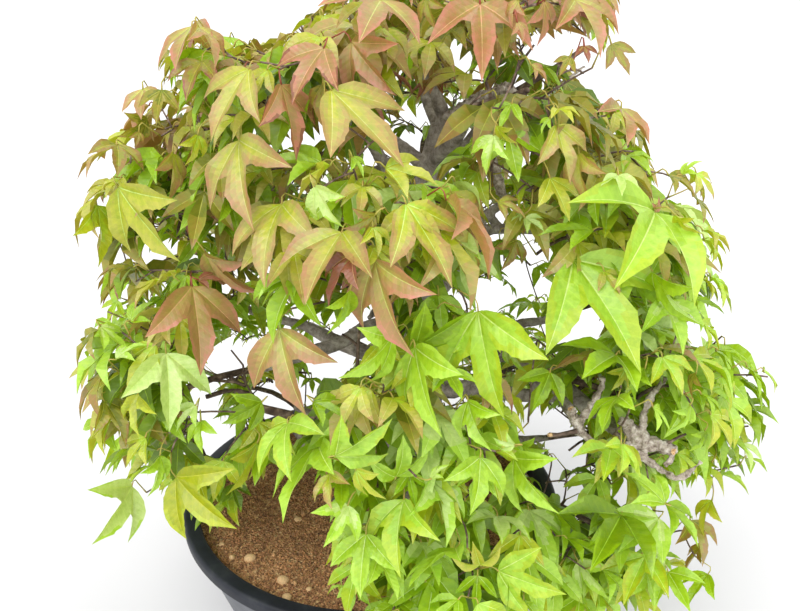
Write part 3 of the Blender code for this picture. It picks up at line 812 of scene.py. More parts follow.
def make_leaf(name, rows, columns):
    """The flat three-lobed leaf, one unit long, with a zone number on each face."""
    shares = [row[0] for row in rows]
    middle = [share * math.tan(SINUS_ANGLE) if width is None else width for share, width, *_ in rows]
    side_angle = SIDE_LOBE_TURN - SINUS_ANGLE
    # A side lobe's rows in the fused part are set so that its inner margin meets the middle lobe's.
    scale = math.cos(side_angle) / math.cos(SINUS_ANGLE)
    last = SINUS_SHARE * scale / SIDE_LOBE_LENGTH
    side_shares = []
    inner = []
    for share, middle_width, inner_width, _ in rows:
        if middle_width is None or share == 0.0:
            along = share * scale
            side_shares.append(along / SIDE_LOBE_LENGTH)
            inner.append(along * math.tan(side_angle))
        else:
            side_shares.append(last + (1 - last) * (share - SINUS_SHARE) / (1 - SINUS_SHARE))
            inner.append(inner_width)
    outer = [row[3] for row in rows]
    halves = [half_lobe(shares, middle, 0.0, 1.0, side, columns) for side in (-1, 1)]
    for side in (-1, 1):
        turn = side * SIDE_LOBE_TURN
        halves.append(half_lobe(side_shares, outer, turn, SIDE_LOBE_LENGTH, side, columns))
        halves.append(half_lobe(side_shares, inner, turn, SIDE_LOBE_LENGTH, -side, columns))
    for half, turn in zip(halves, (0, 0, -1, -1, 1, 1)):
        zones = []
        for face in half.data.polygons:
            column = min(vertex % (columns + 1) for vertex in face.vertices)
            share = face.center.length / (1.0 if turn == 0 else SIDE_LOBE_LENGTH)
            band = int(share * (BANDS - 1) + MARGIN_LEAD * 2 * (column - 1) / (columns - 1))
            zones.append(RIB_ZONE if column == 0 else min(band, BANDS - 1))
        mark = half.data.attributes.new("zone", "INT", "FACE")
        mark.data.foreach_set("value", zones)
    deselect_all()
    for half in halves:
        half.select_set(True)
    bpy.context.view_layer.objects.active = halves[0]
    bpy.ops.object.join()
    leaf = bpy.context.object
    bpy.ops.object.mode_set(mode="EDIT")
    bpy.ops.mesh.select_all(action="SELECT")
    bpy.ops.mesh.remove_doubles(threshold=LEAF_NEARNESS)
    bpy.ops.mesh.quads_convert_to_tris()
    bpy.ops.mesh.normals_make_consistent(inside=False)
    bpy.ops.object.mode_set(mode="OBJECT")
    if leaf.data.polygons[0].normal.z < 0:
        leaf.data.flip_normals()
    leaf.name = name
    return leaf


fine_leaf = make_leaf("fine_leaf", FINE_ROWS, 4)
plain_leaf = make_leaf("plain_leaf", PLAIN_ROWS, 2)
print("faces of a fine and of a plain leaf:", [triangles_of(leaf) for leaf in (fine_leaf, plain_leaf)])


# %% [markdown]
# ## Bending a leaf
#
# No leaf on a tree is flat. Each lobe is folded along its rib, the whole blade arches over like an
# umbrella, its side lobes sag and its points curl down. The flat leaf is read once into arrays, and each
# copy is bent by moving all its points at once in numpy, which takes far less time than a thousand
# separate objects with modifiers.

# %% From a flat leaf to a bent one
Blade = namedtuple("Blade", "x y along across lobe triangles zones places")
Bend = namedtuple("Bend", "fold arch sag curl wave twist phase")
Leaf = namedtuple("Leaf", "blade points tints")
ANGLE_EASE = 0.001  # a point on the line between two lobes counts as the middle one's


def in_lobe(flat, lobe):
    """How far along and across its lobe each flat point lies."""
    from_rib = np.arctan2(flat[:, 0], flat[:, 1]) - lobe * SIDE_LOBE_TURN
    reach = np.hypot(flat[:, 0], flat[:, 1])
    along = reach * np.cos(from_rib) / np.where(lobe != 0, SIDE_LOBE_LENGTH, 1.0)
    return along, np.abs(reach * np.sin(from_rib))


def blade_arrays(leaf):
    """The flat leaf as arrays, with each point's place along and across its own lobe."""
    flat = np.array([vertex.co for vertex in leaf.data.vertices])
    angle = np.arctan2(flat[:, 0], flat[:, 1])
    lobe = np.where(np.abs(angle) > SINUS_ANGLE + ANGLE_EASE, np.sign(angle), 0.0)
    along, across = in_lobe(flat, lobe)
    triangles = np.array([tuple(face.vertices) for face in leaf.data.polygons])
    zones = np.array([mark.value for mark in leaf.data.attributes["zone"].data])
    centres = flat[triangles].mean(axis=1)
    angle = np.arctan2(centres[:, 0], centres[:, 1])
    face_lobe = np.where(np.abs(angle) > SINUS_ANGLE, np.sign(angle), 0.0)
    corners = [in_lobe(flat[triangles[:, corner]], face_lobe) for corner in range(3)]
    places = np.array([np.column_stack((across_at, along_at)) for along_at, across_at in corners])
    places = places.transpose(1, 0, 2)
    return Blade(flat[:, 0], flat[:, 1], along, across, lobe, triangles, zones, places)


FINE = blade_arrays(fine_leaf)
PLAIN = blade_arrays(plain_leaf)
bpy.data.objects.remove(fine_leaf, do_unlink=True)
bpy.data.objects.remove(plain_leaf, do_unlink=True)

CURL_FROM = 0.55
FOLD_FROM = (0.15, 0.55)  # a fold pulls a lobe's margins in fully past this share of it
WAVES = 11.0


def bent_points(blade, foot, axes, length, bend):
    """The leaf's points in space. The axes are columns: to its right, along it, and out of its face."""
    rib_right = np.sin(blade.lobe * SIDE_LOBE_TURN)
    rib_along = np.cos(blade.lobe * SIDE_LOBE_TURN)
    on_rib = blade.x * rib_right + blade.y * rib_along
    share = np.clip((blade.along - FOLD_FROM[0]) / (FOLD_FROM[1] - FOLD_FROM[0]), 0, 1)
    kept = 1 - share * (1 - 1 / math.sqrt(1 + bend.fold ** 2))
    flat_x = on_rib * rib_right + kept * (blade.x - on_rib * rib_right)
    flat_y = on_rib * rib_along + kept * (blade.y - on_rib * rib_along)
    height = (
        bend.fold * blade.across
        + 4 * bend.arch * blade.along * (1 - blade.along)
        - bend.sag * blade.x ** 2
        - bend.curl * (np.clip(blade.along - CURL_FROM, 0, None) / (1 - CURL_FROM)) ** 2
        + bend.wave * blade.across * np.sin(WAVES * blade.along + bend.phase + blade.lobe)
        + bend.twist * blade.x * blade.y)
    local = np.column_stack((flat_x, flat_y, height)) * length
    return np.array(foot) + local @ np.array(axes).T


def random_bend(rng, strength=1.0):
    return Bend(
        fold=strength * rng.uniform(0.30, 0.85),
        arch=strength * rng.uniform(0.02, 0.10),
        sag=strength * rng.uniform(0.05, 0.40),
        curl=strength * rng.uniform(0.0, 0.12),
        wave=rng.uniform(0.05, 0.22),
        twist=rng.uniform(-0.16, 0.16),
        phase=rng.uniform(0, 2 * math.pi))


print("points of a fine and of a plain leaf:", len(FINE.x), len(PLAIN.x))

# %% [markdown]
# ## The tints of the crown
#
# Young maple leaves open rose and bronze, turn khaki and lime, and end fresh green. So the crown's top is
# warm, and its low and right-hand sprays are green. The tints lie in a row, each a small step from the
# next, and each is one plain finish. A family says where in the row a leaf's foot and its points are, so
# its bands run from one to the other, and the colour changes along each lobe as it does on the tree.

# %% Tints and families
Tint = namedtuple("Tint", "look slot")
Family = namedtuple("Family", "row foot points rib")
GREEN, OLIVE, BRONZE = "green_leaves", "olive_leaves", "bronze_leaves"
TINTS = {
    "deep": Tint((100, 130, 14), GREEN),
    "shade": Tint((130, 163, 10), GREEN),
    "leaf": Tint((145, 182, 15), GREEN),
    "leaf_fresh": Tint((154, 192, 34), GREEN),
    "fresh": Tint((167, 206, 62), GREEN),
    "fresh_lime": Tint((170, 197, 42), GREEN),
    "lime": Tint((172, 185, 32), GREEN),
    "lime_gold": Tint((178, 185, 50), OLIVE),
    "gold": Tint((180, 182, 64), OLIVE),
    "gold_khaki": Tint((178, 177, 76), OLIVE),
    "khaki": Tint((176, 169, 80), OLIVE),
    "khaki_tan": Tint((173, 159, 82), OLIVE),
    "tan": Tint((170, 149, 80), OLIVE),
    "tan_bronze": Tint((166, 138, 78), BRONZE),
    "bronze": Tint((165, 130, 78), BRONZE),
    "bronze_rose": Tint((173, 128, 86), BRONZE),
    "rose": Tint((182, 127, 96), BRONZE),
    "russet": Tint((140, 88, 62), BRONZE),
    "acid": Tint((158, 168, 8), GREEN),
    # painted sheen: a pale, bluish green that stands for the white gloss of the sky on a leaf
    "mint": Tint((188, 214, 122), GREEN),
    "moss": Tint((122, 128, 32), OLIVE),
    "olive": Tint((150, 146, 52), OLIVE),
    "umber": Tint((148, 122, 60), BRONZE),
    "green_rib": Tint((198, 224, 120), GREEN),
    "khaki_rib": Tint((194, 198, 112), OLIVE),
    "rose_rib": Tint((202, 164, 114), BRONZE),
}
LIGHT_ROW = tuple(TINTS)[:18]  # from deep to russet
DARK_ROW = ("deep", "moss", "olive", "umber", "russet")
# painted sheen at a leaf's foot, fading to fresh green at its points
PAINTED_SHEEN_ROW = ("mint", "mint", "fresh")
ACID_ROW = ("leaf", "acid", "acid", "lime")
FAMILIES = {
    "fresh": Family(LIGHT_ROW, 3.0, 4.8, "green_rib"),
    "fresh_lime": Family(LIGHT_ROW, 4.0, 6.4, "green_rib"),
    "leaf": Family(LIGHT_ROW, 1.8, 3.8, "mint"),
    "shade": Family(LIGHT_ROW, 1.0, 2.2, "fresh"),
    # painted shade: the darkest greens, dealt only to leaves deep inside a mass
    "deep": Family(LIGHT_ROW, 0.0, 1.3, "leaf"),
    "acid": Family(ACID_ROW, 0.8, 2.4, "lime_gold"),
    "mint": Family(PAINTED_SHEEN_ROW, 0.2, 1.8, "green_rib"),
    "lime": Family(LIGHT_ROW, 4.8, 7.8, "green_rib"),
    "gold": Family(LIGHT_ROW, 5.2, 11.6, "khaki_rib"),
    "olive": Family(DARK_ROW, 1.0, 3.2, "gold"),
    "khaki": Family(LIGHT_ROW, 5.8, 13.4, "khaki_rib"),
    "green_khaki": Family(LIGHT_ROW, 3.4, 12.4, "green_rib"),
    "bronze": Family(LIGHT_ROW, 8.6, 15.8, "khaki_rib"),
    "rose": Family(LIGHT_ROW, 11.4, 16.0, "rose_rib"),
    "russet": Family(DARK_ROW, 2.7, 4.0, "rose_rib"),
}
FAMILY_STRAY = 0.7


def band_tints(family, rng):
    """The tints of a leaf's bands from foot to points, and of its ribs."""
    row, foot, points, rib = FAMILIES[family]
    stray = rng.uniform(-FAMILY_STRAY, FAMILY_STRAY)
    tints = []
    for band in range(BANDS):
        place = foot + (points - foot) * band / (BANDS - 1) + stray
        tints.append(row[min(max(int(round(place)), 0), len(row) - 1)])
    return (*tints, rib)


print("tints:", len(TINTS), "families of leaf colour:", len(FAMILIES))

# %% [markdown]
# ## The front leaves
#
# The leaves that face the camera give this tree its look, so each of them is placed one by one. It is noted
# by where its foot, its middle point and its left and right points show in the picture. From these four
# places, and from the leaf's known angles, its length and its turn in space follow: the two ribs must be
# equally long in truth, so what is missing in the picture is depth.

# %% Where the front leaves show
# Each leaf: its family, its foot, its middle point, and its left and right points where they show.
FRONT_LEAVES = (
    # top left
    ("khaki", (249, 69), (209, 141), (179, 127), (232, 144)),
    ("bronze", (192, 26), (175, 68), (147, 78), (205, 50)),
    ("bronze", (198, 27), (215, 70), None, (228, 60)),
    ("olive", (202, 61), (186, 101), (167, 82)),
    ("khaki", (239, 140), (252, 228), (203, 208), (278, 161)),
    ("khaki", (173, 153), (168, 204), (157, 170)),
    ("lime", (198, 135), (185, 166)),
    ("bronze", (143, 89), (141, 119), (121, 112)),
    ("olive", (162, 90), (156, 125), None, (180, 111)),
    ("olive", (147, 119), (117, 137)),
    ("olive", (117, 145), (117, 176), (98, 163), (155, 179)),
    ("bronze", (139, 132), (134, 148)),
    # top middle
    ("rose", (324, 48), (292, 105), (285, 79), (347, 101)),
    ("rose", (351, 42), (397, 96), (353, 100)),
    ("gold", (382, 28), (387, 72), (361, 42)),
    ("bronze", (381, 0), (361, 38), (321, 1)),
    ("olive", (382, 0), (409, 25)),
    ("olive", (426, -2), (437, 31)),
    ("rose", (281, 84), (297, 162), (260, 129), (314, 133)),
    ("olive", (323, 84), (328, 133)),
    ("khaki", (331, 90), (404, 167), (334, 167), (410, 128)),
    ("leaf", (352, 157), (364, 179)),
    ("lime", (385, 168), (440, 187)),
    ("mint", (315, 186), (344, 228), (316, 222)),
    ("leaf", (322, 163), (257, 167)),
    # top right
    ("rose", (480, 4), (482, 78), (426, 73), (531, 78)),
    ("khaki", (556, 125), (571, 186), (529, 170), (583, 157)),
    ("khaki", (579, 154), (590, 205)),
    ("mint", (494, 135), (486, 176), (473, 153), (511, 159)),
    ("lime", (497, 125), (519, 144)),
    ("leaf", (550, 118), (541, 135)),
    ("bronze", (575, 0), (600, 57), (557, 34), (622, 39)),
    ("rose", (544, 1), (537, 48)),
    ("bronze", (518, 0), (512, 30)),
    ("rose", (517, 22), (523, 44)),
    ("olive", (471, 3), (439, 25)),
    ("bronze", (531, 65), (548, 84)),
    ("bronze", (621, 108), (627, 145), None, (651, 144)),
    ("olive", (611, 44), (630, 76)),
    ("mint", (618, 175), (622, 196), (604, 188), (642, 191)),
    ("leaf", (682, 175), (703, 161)),
    ("olive", (668, 175), (696, 197)),
    ("lime", (550, 178), (570, 221), (540, 205)),
    # left, middle height
    ("lime", (118, 187), (181, 263), (115, 264), (160, 207)),
    ("fresh_lime", (97, 205), (98, 268)),
    ("bronze", (279, 329), (305, 416), (249, 387), (331, 359)),
    ("rose", (192, 286), (201, 375), (150, 328), (242, 329)),
    ("russet", (198, 280), (224, 281)),
    ("bronze", (205, 251), (264, 295), None, (245, 263)),
    ("khaki", (282, 204), (264, 284), None, (313, 238)),
    ("mint", (166, 353), (169, 432), (117, 382), (209, 380)),
    ("mint", (100, 326), (128, 353)),
    ("mint", (116, 360), (152, 345)),
    ("leaf", (130, 321), (154, 301)),
    ("shade", (225, 198), (243, 235)),
    # middle
    ("khaki", (342, 232), (306, 301), (276, 267)),
    ("bronze", (375, 261), (413, 358), (343, 338), (417, 297)),
    ("russet", (353, 254), (328, 308)),
    ("lime", (373, 227), (378, 258), (358, 246), (390, 245)),
    ("lime", (368, 247), (394, 263)),
    ("green_khaki", (406, 204), (453, 287), (389, 258), (464, 232)),
    ("leaf", (415, 347), (440, 436), (381, 395), (438, 351)),
    ("shade", (415, 347), (476, 308)),
    ("leaf", (392, 336), (341, 378), (368, 389)),
    ("shade", (350, 290), (328, 335)),
    ("olive", (375, 215), (341, 229)),
    ("rose", (446, 200), (490, 278), None, (485, 250)),
    ("shade", (500, 240), (503, 283)),
    ("fresh", (478, 311), (503, 420), (433, 375), (543, 350)),
    ("mint", (508, 345), (527, 373)),
    ("fresh", (573, 260), (640, 370), (542, 348), (664, 287)),
    ("fresh", (655, 212), (620, 280), (573, 222), (698, 317)),
    ("shade", (593, 230), (537, 236)),
    ("mint", (525, 218), (545, 232)),
    ("mint", (525, 214), (510, 222)),
    ("khaki", (498, 202), (525, 216)),
    ("leaf", (616, 355), (584, 377), (560, 346)),
    ("shade", (550, 372), (532, 411), (524, 375), (569, 401)),
    ("shade", (447, 371), (462, 399), (431, 389), (476, 380)),
    ("russet", (584, 46), (589, 63), (576, 57), (600, 55)),
    ("olive", (516, 240), (501, 271), (489, 249), (520, 266)),
    ("olive", (570, 57), (559, 77), (551, 65), (574, 76)),
    # right, middle height
    ("mint", (664, 302), (683, 353), (638, 329), (702, 326)),
    ("fresh_lime", (662, 357), (683, 395), (652, 383)),
    ("lime", (625, 369), (611, 391), (606, 373)),
    ("leaf", (645, 368), (635, 403)),
    ("olive", (696, 373), (693, 400)),
    ("lime", (674, 215), (703, 234)),
    ("rose", (655, 212), (659, 196)),
    ("leaf", (652, 271), (703, 327)),
    # low left
    ("acid", (176, 477), (235, 529), (171, 536), (218, 465)),
    ("mint", (132, 486), (95, 542), (96, 488), (134, 541)),
    ("fresh", (288, 423), (290, 478), (257, 473)),
    ("lime", (257, 443), (227, 495)),
    ("shade", (262, 402), (222, 424)),
    ("acid", (138, 394), (139, 437)),
    ("olive", (104, 401), (126, 448)),
    ("mint", (196, 405), (176, 432)),
    ("fresh", (160, 455), (148, 497)),
    ("shade", (201, 421), (203, 454)),
    # low middle
    ("fresh", (318, 443), (283, 517), None, (331, 471)),
    ("khaki", (330, 474), (332, 509), (315, 503)),
    ("fresh", (335, 456), (392, 419), (396, 467), (347, 430)),
    ("shade", (313, 402), (349, 422)),
    ("fresh", (396, 477), (403, 436), (375, 474), (434, 458)),
    ("mint", (348, 505), (324, 547), (312, 513)),
    ("lime", (356, 470), (386, 500)),
    ("shade", (341, 481), (341, 509), None, (368, 498)),
    ("fresh", (404, 499), (400, 577), (365, 534), (432, 529)),
    ("leaf", (366, 534), (360, 598), (327, 558), (394, 562)),
    ("mint", (432, 481), (446, 546), (415, 496), (467, 503)),
    ("mint", (431, 479), (451, 464)),
    ("fresh", (456, 548), (410, 586), (412, 545), (469, 526)),
    ("fresh", (378, 556), (398, 600)),
    # low right
    ("leaf", (468, 401), (491, 451), (459, 451), (497, 424)),
    ("leaf", (480, 457), (471, 515), (446, 481)),
    ("fresh", (514, 458), (556, 512), (511, 521), (545, 464)),
    ("mint", (529, 510), (553, 571), None, (573, 543)),
    ("shade", (621, 515), (593, 566), (558, 513)),
    ("mint", (497, 516), (502, 542), (468, 521)),
    ("fresh", (498, 571), (565, 594), (506, 611), (518, 539)),
    ("lime", (480, 565), (473, 543), None, (501, 547)),
    ("shade", (518, 445), (550, 450)),
    ("mint", (515, 445), (492, 437)),
    ("leaf", (618, 397), (603, 432), (585, 431), (634, 418)),
    ("fresh", (611, 448), (604, 479), (574, 453)),
    ("fresh", (621, 444), (621, 473), None, (636, 474)),
    ("leaf", (665, 504), (622, 471)),
    ("leaf", (665, 504), (698, 547)),
    ("mint", (659, 518), (619, 551), (617, 508), (669, 560)),
    ("fresh_lime", (645, 556), (624, 603), (597, 569), (666, 591)),
    ("leaf", (690, 405), (668, 432)),
    ("fresh", (712, 462), (690, 488)),
    ("shade", (705, 430), (688, 452)),
    ("olive", (704, 545), (684, 572)),
    ("mint", (578, 561), (609, 599)),
    ("fresh", (552, 580), (538, 611)),
    ("leaf", (668, 572), (690, 611), (655, 604)),
    ("olive", (690, 520), (702, 566)),
    ("shade", (708, 574), (688, 606)),
    ("lime", (712, 500), (704, 538)),
)
print("front leaves:", len(FRONT_LEAVES))

# %% Finding a front leaf's place and turn
FRONT_REACH = 0.86  # front leaves hang at this share of a mass's space
NEAR_DEPTH = 0.33
FAR_DEPTH = 0.95
DEPTH_STEP = 0.004
LONGEST_FRONT_LEAF = 0.072
LONE_LEAF_WIDTH = (0.35, 0.8)  # of a leaf whose side points don't show
LONE_LEAF_SLANT = (-0.2, 0.2)
LEAST_DEPTH_SQUARED = 1e-9


def reach_share(point, mass):
    """Distance from the mass's middle as a share of its rounded space."""
    away = point - mass.centre
    away.z /= MASS_FLATNESS
    return away.length / mass.radius


def depth_of_crown(across, down):
    """How deep the crown's face lies behind a place in the picture."""
    line = sight_line(across, down)
    best = (math.inf, NEAR_DEPTH)
    depth = NEAR_DEPTH
    while depth < FAR_DEPTH:
        point = EYE + line * depth
        share = min(reach_share(point, mass) for mass in MASSES)
        if share <= FRONT_REACH:
            return depth
        best = min(best, (share, depth))
        depth += DEPTH_STEP
    return best[1]


def turn_from_picture(foot, middle, left, right, depth, rng):
    """The axes and the length of a leaf at this depth that shows its points where they are noted."""
    scale = depth / FOCAL_PIXELS
    towards = -sight_line(*foot).normalized()

    def offset(place):
        flat = (PICTURE_RIGHT * (place[0] - foot[0]) - PICTURE_UP * (place[1] - foot[1])) * scale
        return flat - towards * flat.dot(towards)

    along = offset(middle)
    sine = math.sin(SIDE_LOBE_TURN) * SIDE_LOBE_LENGTH
    cosine = math.cos(SIDE_LOBE_TURN) * SIDE_LOBE_LENGTH
    if left and right:
        side = (offset(right) - offset(left)) / (2 * sine)
    elif left or right:
        side = (offset(left or right) - along * cosine) / sine
    else:
        side = along.cross(towards).normalized() * along.length * rng.uniform(*LONE_LEAF_WIDTH)
        side += along * rng.uniform(*LONE_LEAF_SLANT)
    if side.cross(along).dot(towards) < 0:
        side = -side
    lengths = along.length_squared + side.length_squared
    gap = along.length_squared - side.length_squared
    overlap = along.dot(side)
    length = math.sqrt((lengths + math.sqrt(gap * gap + 4 * overlap * overlap)) / 2)
    along_depth = math.sqrt(max(length ** 2 - along.length_squared, LEAST_DEPTH_SQUARED))
    side_depth = math.sqrt(max(length ** 2 - side.length_squared, 0.0))
    if overlap > 0:
        side_depth = -side_depth
    along = (along + towards * along_depth).normalized()
    side += towards * side_depth
    side = (side - along * side.dot(along)).normalized()
    return Matrix((side, along, side.cross(along))).transposed(), length


print("crown's face in the picture's middle, metres deep:",
      round(depth_of_crown(PICTURE_WIDTH / 2, PICTURE_HEIGHT / 2), 3))

# %% [markdown]
# ## Openings in the crown
#
# A bonsai is thinned so that light and air pass through, and the pale background shows in many places
# between the leaves. Those openings are noted as ovals and outlines in the picture, and a leaf that would
# hang in one is left out. The front leaves and the openings together decide what the crown shows from its
# front. Everywhere else the leaves follow only the rule of growth.

# %% Where the background and the soil show
OPEN_OVALS = (  # across, down, half width, half height
    (413, 154, 18, 15), (431, 109, 7, 9), (408, 113, 5, 10), (422, 119, 5, 5), (371, 158, 7, 8),
    (260, 137, 7, 7), (289, 147, 8, 8), (303, 142, 10, 14), (320, 136, 7, 10), (460, 63, 7, 8),
    (455, 49, 9, 6), (460, 105, 5, 5), (461, 138, 6, 10), (565, 50, 30, 15),
    (316, 296, 9, 8), (362, 325, 16, 20), (330, 360, 24, 20), (275, 398, 22, 14),
    (228, 360, 20, 18), (205, 405, 13, 22), (215, 440, 18, 18), (169, 252, 10, 10),
    (151, 260, 8, 8), (193, 262, 9, 6), (226, 290, 6, 9),
    (492, 296, 20, 12), (516, 270, 11, 10), (537, 255, 9, 8), (528, 318, 9, 9), (587, 325, 17, 17),
    (564, 336, 11, 10), (493, 230, 6, 9), (501, 217, 7, 6), (529, 236, 6, 8), (425, 296, 7, 7),
    (456, 379, 10, 6), (452, 393, 10, 9), (523, 397, 7, 7), (550, 424, 15, 13), (566, 440, 15, 9),
    (561, 462, 9, 6), (581, 462, 6, 8), (558, 475, 4, 6), (558, 496, 5, 6), (575, 499, 8, 8),
    (572, 391, 4, 6), (620, 487, 9, 6), (631, 501, 14, 4), (662, 488, 6, 6), (670, 517, 10, 9),
    (695, 512, 10, 14), (641, 550, 9, 5), (680, 576, 8, 5), (690, 332, 6, 10), (676, 192, 18, 11),
)
OPEN_TOP_LEFT = (
    (-90, -90), (318, -90), (318, 4), (300, 25), (268, 40), (225, 35), (190, 20), (145, 75),
    (120, 85), (108, 125), (92, 148), (60, 150), (-90, 150))
OPEN_TOP_RIGHT = (
    (625, -20), (622, 42), (612, 40), (603, 62), (560, 45), (530, 35), (528, 55), (545, 66),
    (590, 62), (585, 90), (612, 108), (640, 112), (655, 150), (650, 165), (668, 178), (700, 150),
    (900, 150), (900, -20))
OPEN_SOIL = (
    (180, 548), (205, 540), (236, 532), (246, 500), (262, 482), (296, 482), (302, 505), (318, 524),
    (322, 556), (330, 611), (150, 611))
OPEN_LOW_LEFT = (
    (40, 520), (92, 508), (120, 500), (140, 474), (152, 470), (160, 500), (172, 525), (190, 540),
    (180, 611), (40, 611))
OPEN_OUTLINES = (OPEN_TOP_LEFT, OPEN_TOP_RIGHT, OPEN_SOIL, OPEN_LOW_LEFT)
OVALS = np.array(OPEN_OVALS, dtype=float)


def inside_outline(across, down, outline):
    inside = np.zeros(len(across), dtype=bool)
    for (x1, y1), (x2, y2) in zip(outline, outline[1:] + outline[:1]):
        crosses = (y1 > down) != (y2 > down)
        if y1 != y2:
            inside ^= crosses & (across < (x2 - x1) * (down - y1) / (y2 - y1) + x1)
    return inside


def in_opening(points):
    """Whether any of the points would hang in an opening of the crown."""
    across, down, _ = to_picture(points)
    from_middle = (((across[:, None] - OVALS[:, 0]) / OVALS[:, 2]) ** 2
                   + ((down[:, None] - OVALS[:, 1]) / OVALS[:, 3]) ** 2)
    if (from_middle < 1.0).any():
        return True
    return any(inside_outline(across, down, outline).any() for outline in OPEN_OUTLINES)


print("openings:", len(OPEN_OVALS) + len(OPEN_OUTLINES))

# %% [markdown]
# ## Room for each leaf
#
# Leaves brush past each other, but two blades can't share a place. Each leaf that is set down leaves its
# points in a coarse grid of cells, and a new leaf looks in the cells round its own points before it may
# stay. A second grid, laid over the picture, keeps the depth of the front leaves, so that nothing is
# grown in front of them.

# %% Room and cover
ROOM = 0.0042  # metres between the points of two leaves
COVER_STEP = 2  # pixels
COVER_GAP = 0.002
BOX_MARGIN = 0.0006
LEAF_RIM_CLEARANCE = 0.006
TRUNK_GAP = 0.003
BOUGH_GAP = 0.001
COVER_EDGE = 2.0  # pixels kept clear on both sides of a limb that shows
FACE_EDGE = 0.05  # how far a face's cover reaches past its sides, as a share of its size
LEAST_AREA = 1e-6
PROBE_PLACES = ((0, 0.95), (0, 0.7), (0, 0.45), (-1, 0.92), (1, 0.92), (-1, 0.6), (1, 0.6), (0, 0.2))
taken = {}
cover = np.full((PICTURE_HEIGHT // COVER_STEP + 1, PICTURE_WIDTH // COVER_STEP + 1), np.inf)
LOW_CORNER, HIGH_CORNER = (np.array(corner) for corner in CAD_BOX)
TRUNK_POINTS = np.array(trunk_line[0])
TRUNK_RADII = np.array(trunk_line[1])
LIMB_POINTS = np.array([point for points, _ in limb_lines for point in points])
LIMB_RADII = np.array([radius for _, radii in limb_lines for radius in radii])


def probes(blade):
    """The leaf's points that stand for it when room is looked for: along its ribs, and its widest two."""
    chosen = []
    for lobe, along in PROBE_PLACES:
        miss = np.abs(blade.lobe - lobe) + np.abs(blade.along - along) + blade.across
        chosen.append(int(np.argmin(miss)))
    widest = np.argsort(-blade.across * (blade.lobe == 0))[:2]
    return np.array(sorted(set(chosen) | set(widest.tolist())))


FINE_PROBES = probes(FINE)
PLAIN_PROBES = probes(PLAIN)


def cell_of(point):
    return tuple(int(math.floor(value / ROOM)) for value in point)


def has_room(points):
    for point in points:
        i, j, k = cell_of(point)
        for step_i, step_j, step_k in itertools.product((-1, 0, 1), repeat=3):
            for other in taken.get((i + step_i, j + step_j, k + step_k), ()):
                if ((other - point) ** 2).sum() < ROOM ** 2:
                    return False
    return True


def take_room(points):
    for point in points:
        taken.setdefault(cell_of(point), []).append(point)


def in_box(points):
    return (points > LOW_CORNER + BOX_MARGIN).all() and (points < HIGH_CORNER - BOX_MARGIN).all()


def clear_of_solids(points):
    """Clear of pot, soil, trunk and boughs."""
    from_middle = np.hypot(points[:, 0], points[:, 1])
    low = points[:, 2] < POT_HEIGHT + LEAF_RIM_CLEARANCE
    if (low & (from_middle < POT_RADIUS + LEAF_RIM_CLEARANCE)).any():
        return False
    for line, kept_off in ((TRUNK_POINTS, TRUNK_RADII + TRUNK_GAP), (LIMB_POINTS, LIMB_RADII + BOUGH_GAP)):
        if (np.linalg.norm(points[:, None] - line[None], axis=2) < kept_off).any():
            return False
    return True


def hides_front(points):
    """Whether any of the points would hang before a front leaf or a limb that shows."""
    across, down, depth = to_picture(points)
    columns = (across / COVER_STEP).astype(int)
    rows = (down / COVER_STEP).astype(int)
    seen = (columns >= 0) & (columns < cover.shape[1]) & (rows >= 0) & (rows < cover.shape[0])
    covered = cover[rows[seen], columns[seen]]
    return (np.isfinite(covered) & (depth[seen] < covered - COVER_GAP)).any()


def lay_cover(blade, points):
    """Write a front leaf's depth into the grid over the picture."""
    across, down, depth = to_picture(points)
    flat = np.column_stack((across, down)) / COVER_STEP
    for triangle in blade.triangles:
        corners = flat[triangle]
        low = np.maximum(np.floor(corners.min(axis=0)).astype(int), 0)
        high = np.ceil(corners.max(axis=0)).astype(int)
        high = np.minimum(high, (cover.shape[1] - 1, cover.shape[0] - 1))
        if (high < low).any():
            continue
        block = cover[low[1]:high[1] + 1, low[0]:high[0] + 1]
        columns, rows = np.meshgrid(np.arange(low[0], high[0] + 1), np.arange(low[1], high[1] + 1))
        (ax, ay), (bx, by), (cx, cy) = corners
        area = (bx - ax) * (cy - ay) - (cx - ax) * (by - ay)
        if abs(area) < LEAST_AREA:
            continue
        u = ((bx - columns) * (cy - rows) - (cx - columns) * (by - rows)) / area
        v = ((cx - columns) * (ay - rows) - (ax - columns) * (cy - rows)) / area
        inside = (u > -FACE_EDGE) & (v > -FACE_EDGE) & (u + v < 1 + FACE_EDGE)
        block[inside] = np.minimum(block[inside], depth[triangle].min())


def lay_limb_cover(depth, places):
    """Keep the view of a seen limb clear of leaves that would hang before it."""
    for (x1, y1, half1), (x2, y2, half2) in zip(places, places[1:]):
        steps = int(math.hypot(x2 - x1, y2 - y1)) + 1
        for step in range(steps + 1):
            share = step / steps
            reach = half1 + (half2 - half1) * share + COVER_EDGE
            rows, columns = (
                slice(max(0, int((place - reach) / COVER_STEP)), int((place + reach) / COVER_STEP) + 1)
                for place in (y1 + (y2 - y1) * share, x1 + (x2 - x1) * share))
            cover[rows, columns] = np.minimum(cover[rows, columns], depth)


print("points that stand for a fine and a plain leaf:", len(FINE_PROBES), len(PLAIN_PROBES))

